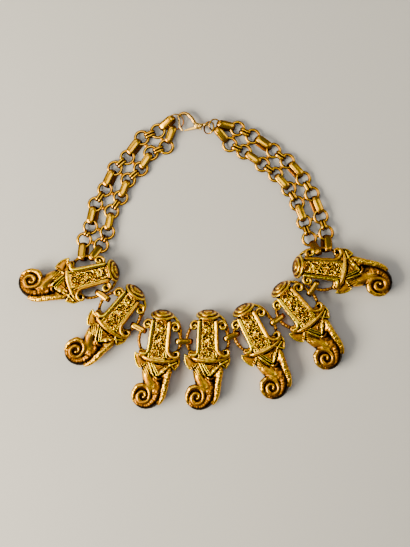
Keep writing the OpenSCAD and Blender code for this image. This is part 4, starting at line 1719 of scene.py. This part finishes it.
@dataclass
class Studio:
    """Floor, lights and camera.

    Attributes:
        aim: The point over the table that is in the middle of the picture, in metres.
        distance: Distance of the camera.
        width: Width of the table that the picture shows.
        floor: Colour of the floor.
        floor_half: Half the floor's width, in metres.
        room: Colour of the room's soft light.
        room_strength: Its strength.
        sensor: Width of the camera's sensor, in millimetres.
        lights: The lights.
    """

    aim: tuple[float, float, float] = (-0.00024, -0.0076, 0.006)
    distance: float = 0.70
    width: float = 0.2542
    floor: str = "#cccac5"
    floor_half: float = 2.0
    room: str = "#dfe6ee"
    room_strength: float = 0.115
    sensor: float = 36.0
    lights: Sequence[Light] = (
        Light("key", (-0.64, -0.22, 0.5), (0.6, 0.4), 18.0, "#fff4dc"),
        Light("fill", (0.55, 0.25, 0.5), (0.3, 0.5), 1.0, "#f6f4ee"),
        Light("back", (-0.3, 0.52, 0.6), (0.6, 0.4), 1.2, "#fff4e2"),
        Light("top", (-0.12, 0.12, 0.95), (0.42, 0.42), 2.0, "#fffaf2"))

    def lay_floor(self) -> None:
        """Lays the pale matt floor."""
        mesh = bpy.data.meshes.new("table_top")
        half = self.floor_half
        mesh.from_pydata([(-half, -half, 0), (half, -half, 0), (half, half, 0), (-half, half, 0)], [],
                         [(0, 1, 2, 3)])
        # Dull pale grey card, almost even, that takes soft shadows and shows no glare
        paint = bpy.data.materials.new("matt_pale_card")
        paint.use_nodes = True
        tree = paint.node_tree
        shader = tree.nodes["Principled BSDF"]
        place = add_node(tree, "ShaderNodeTexCoord").outputs["Object"]
        mottle = add_node(tree, "ShaderNodeTexNoise", {"Vector": place, "Scale": 6.0, "Detail": 3.0})
        tone = add_node(tree, "ShaderNodeMapRange", {"Value": mottle, "To Min": 0.97, "To Max": 1.03})
        shade = vector_node(tree, "SCALE", linear(self.floor)[:3], Scale=tone)
        tree.links.new(shade.outputs[0], shader.inputs["Base Color"])
        shader.inputs["Roughness"].default_value = 0.85
        mesh.materials.append(paint)
        floor = bpy.data.objects.new("table_top", mesh)
        bpy.context.scene.collection.objects.link(floor)
        floor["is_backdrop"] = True

    def light_up(self) -> None:
        """Hangs the lights and sets the room's soft light."""
        for light in self.lights:
            light.hang(Vector((0, 0, 0)))
        world = bpy.data.worlds.new("studio_room")
        world.use_nodes = True
        back = world.node_tree.nodes["Background"]
        back.inputs["Color"].default_value = linear(self.room)
        back.inputs["Strength"].default_value = self.room_strength
        bpy.context.scene.world = world

    def set_camera(self) -> None:
        """Sets the camera straight above the picture's middle."""
        data = bpy.data.cameras.new("camera")
        data.sensor_fit = "HORIZONTAL"
        data.sensor_width = self.sensor
        data.lens = self.sensor * self.distance / self.width
        data.clip_end = 10.0
        made = bpy.data.objects.new("camera", data)
        made.location = (self.aim[0], self.aim[1], self.aim[2] + self.distance)
        bpy.context.scene.collection.objects.link(made)
        bpy.context.scene.camera = made


def corners() -> list[list[float]]:
    """The whole object's box as plain lists of numbers."""
    return [[float(v) for v in corner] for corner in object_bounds()]


def main() -> None:
    """Builds the necklace and its studio."""
    logging.basicConfig(level=logging.INFO, format="%(message)s")
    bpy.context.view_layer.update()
    studio = Studio()
    studio.set_camera()
    studio.lay_floor()
    studio.light_up()
    pendants = Pendants()
    for builder in (pendants, Chain(pendants), Clasp()):
        for made in builder.build():
            report(made)
    bpy.context.view_layer.update()


if __name__ == "__main__":
    main()
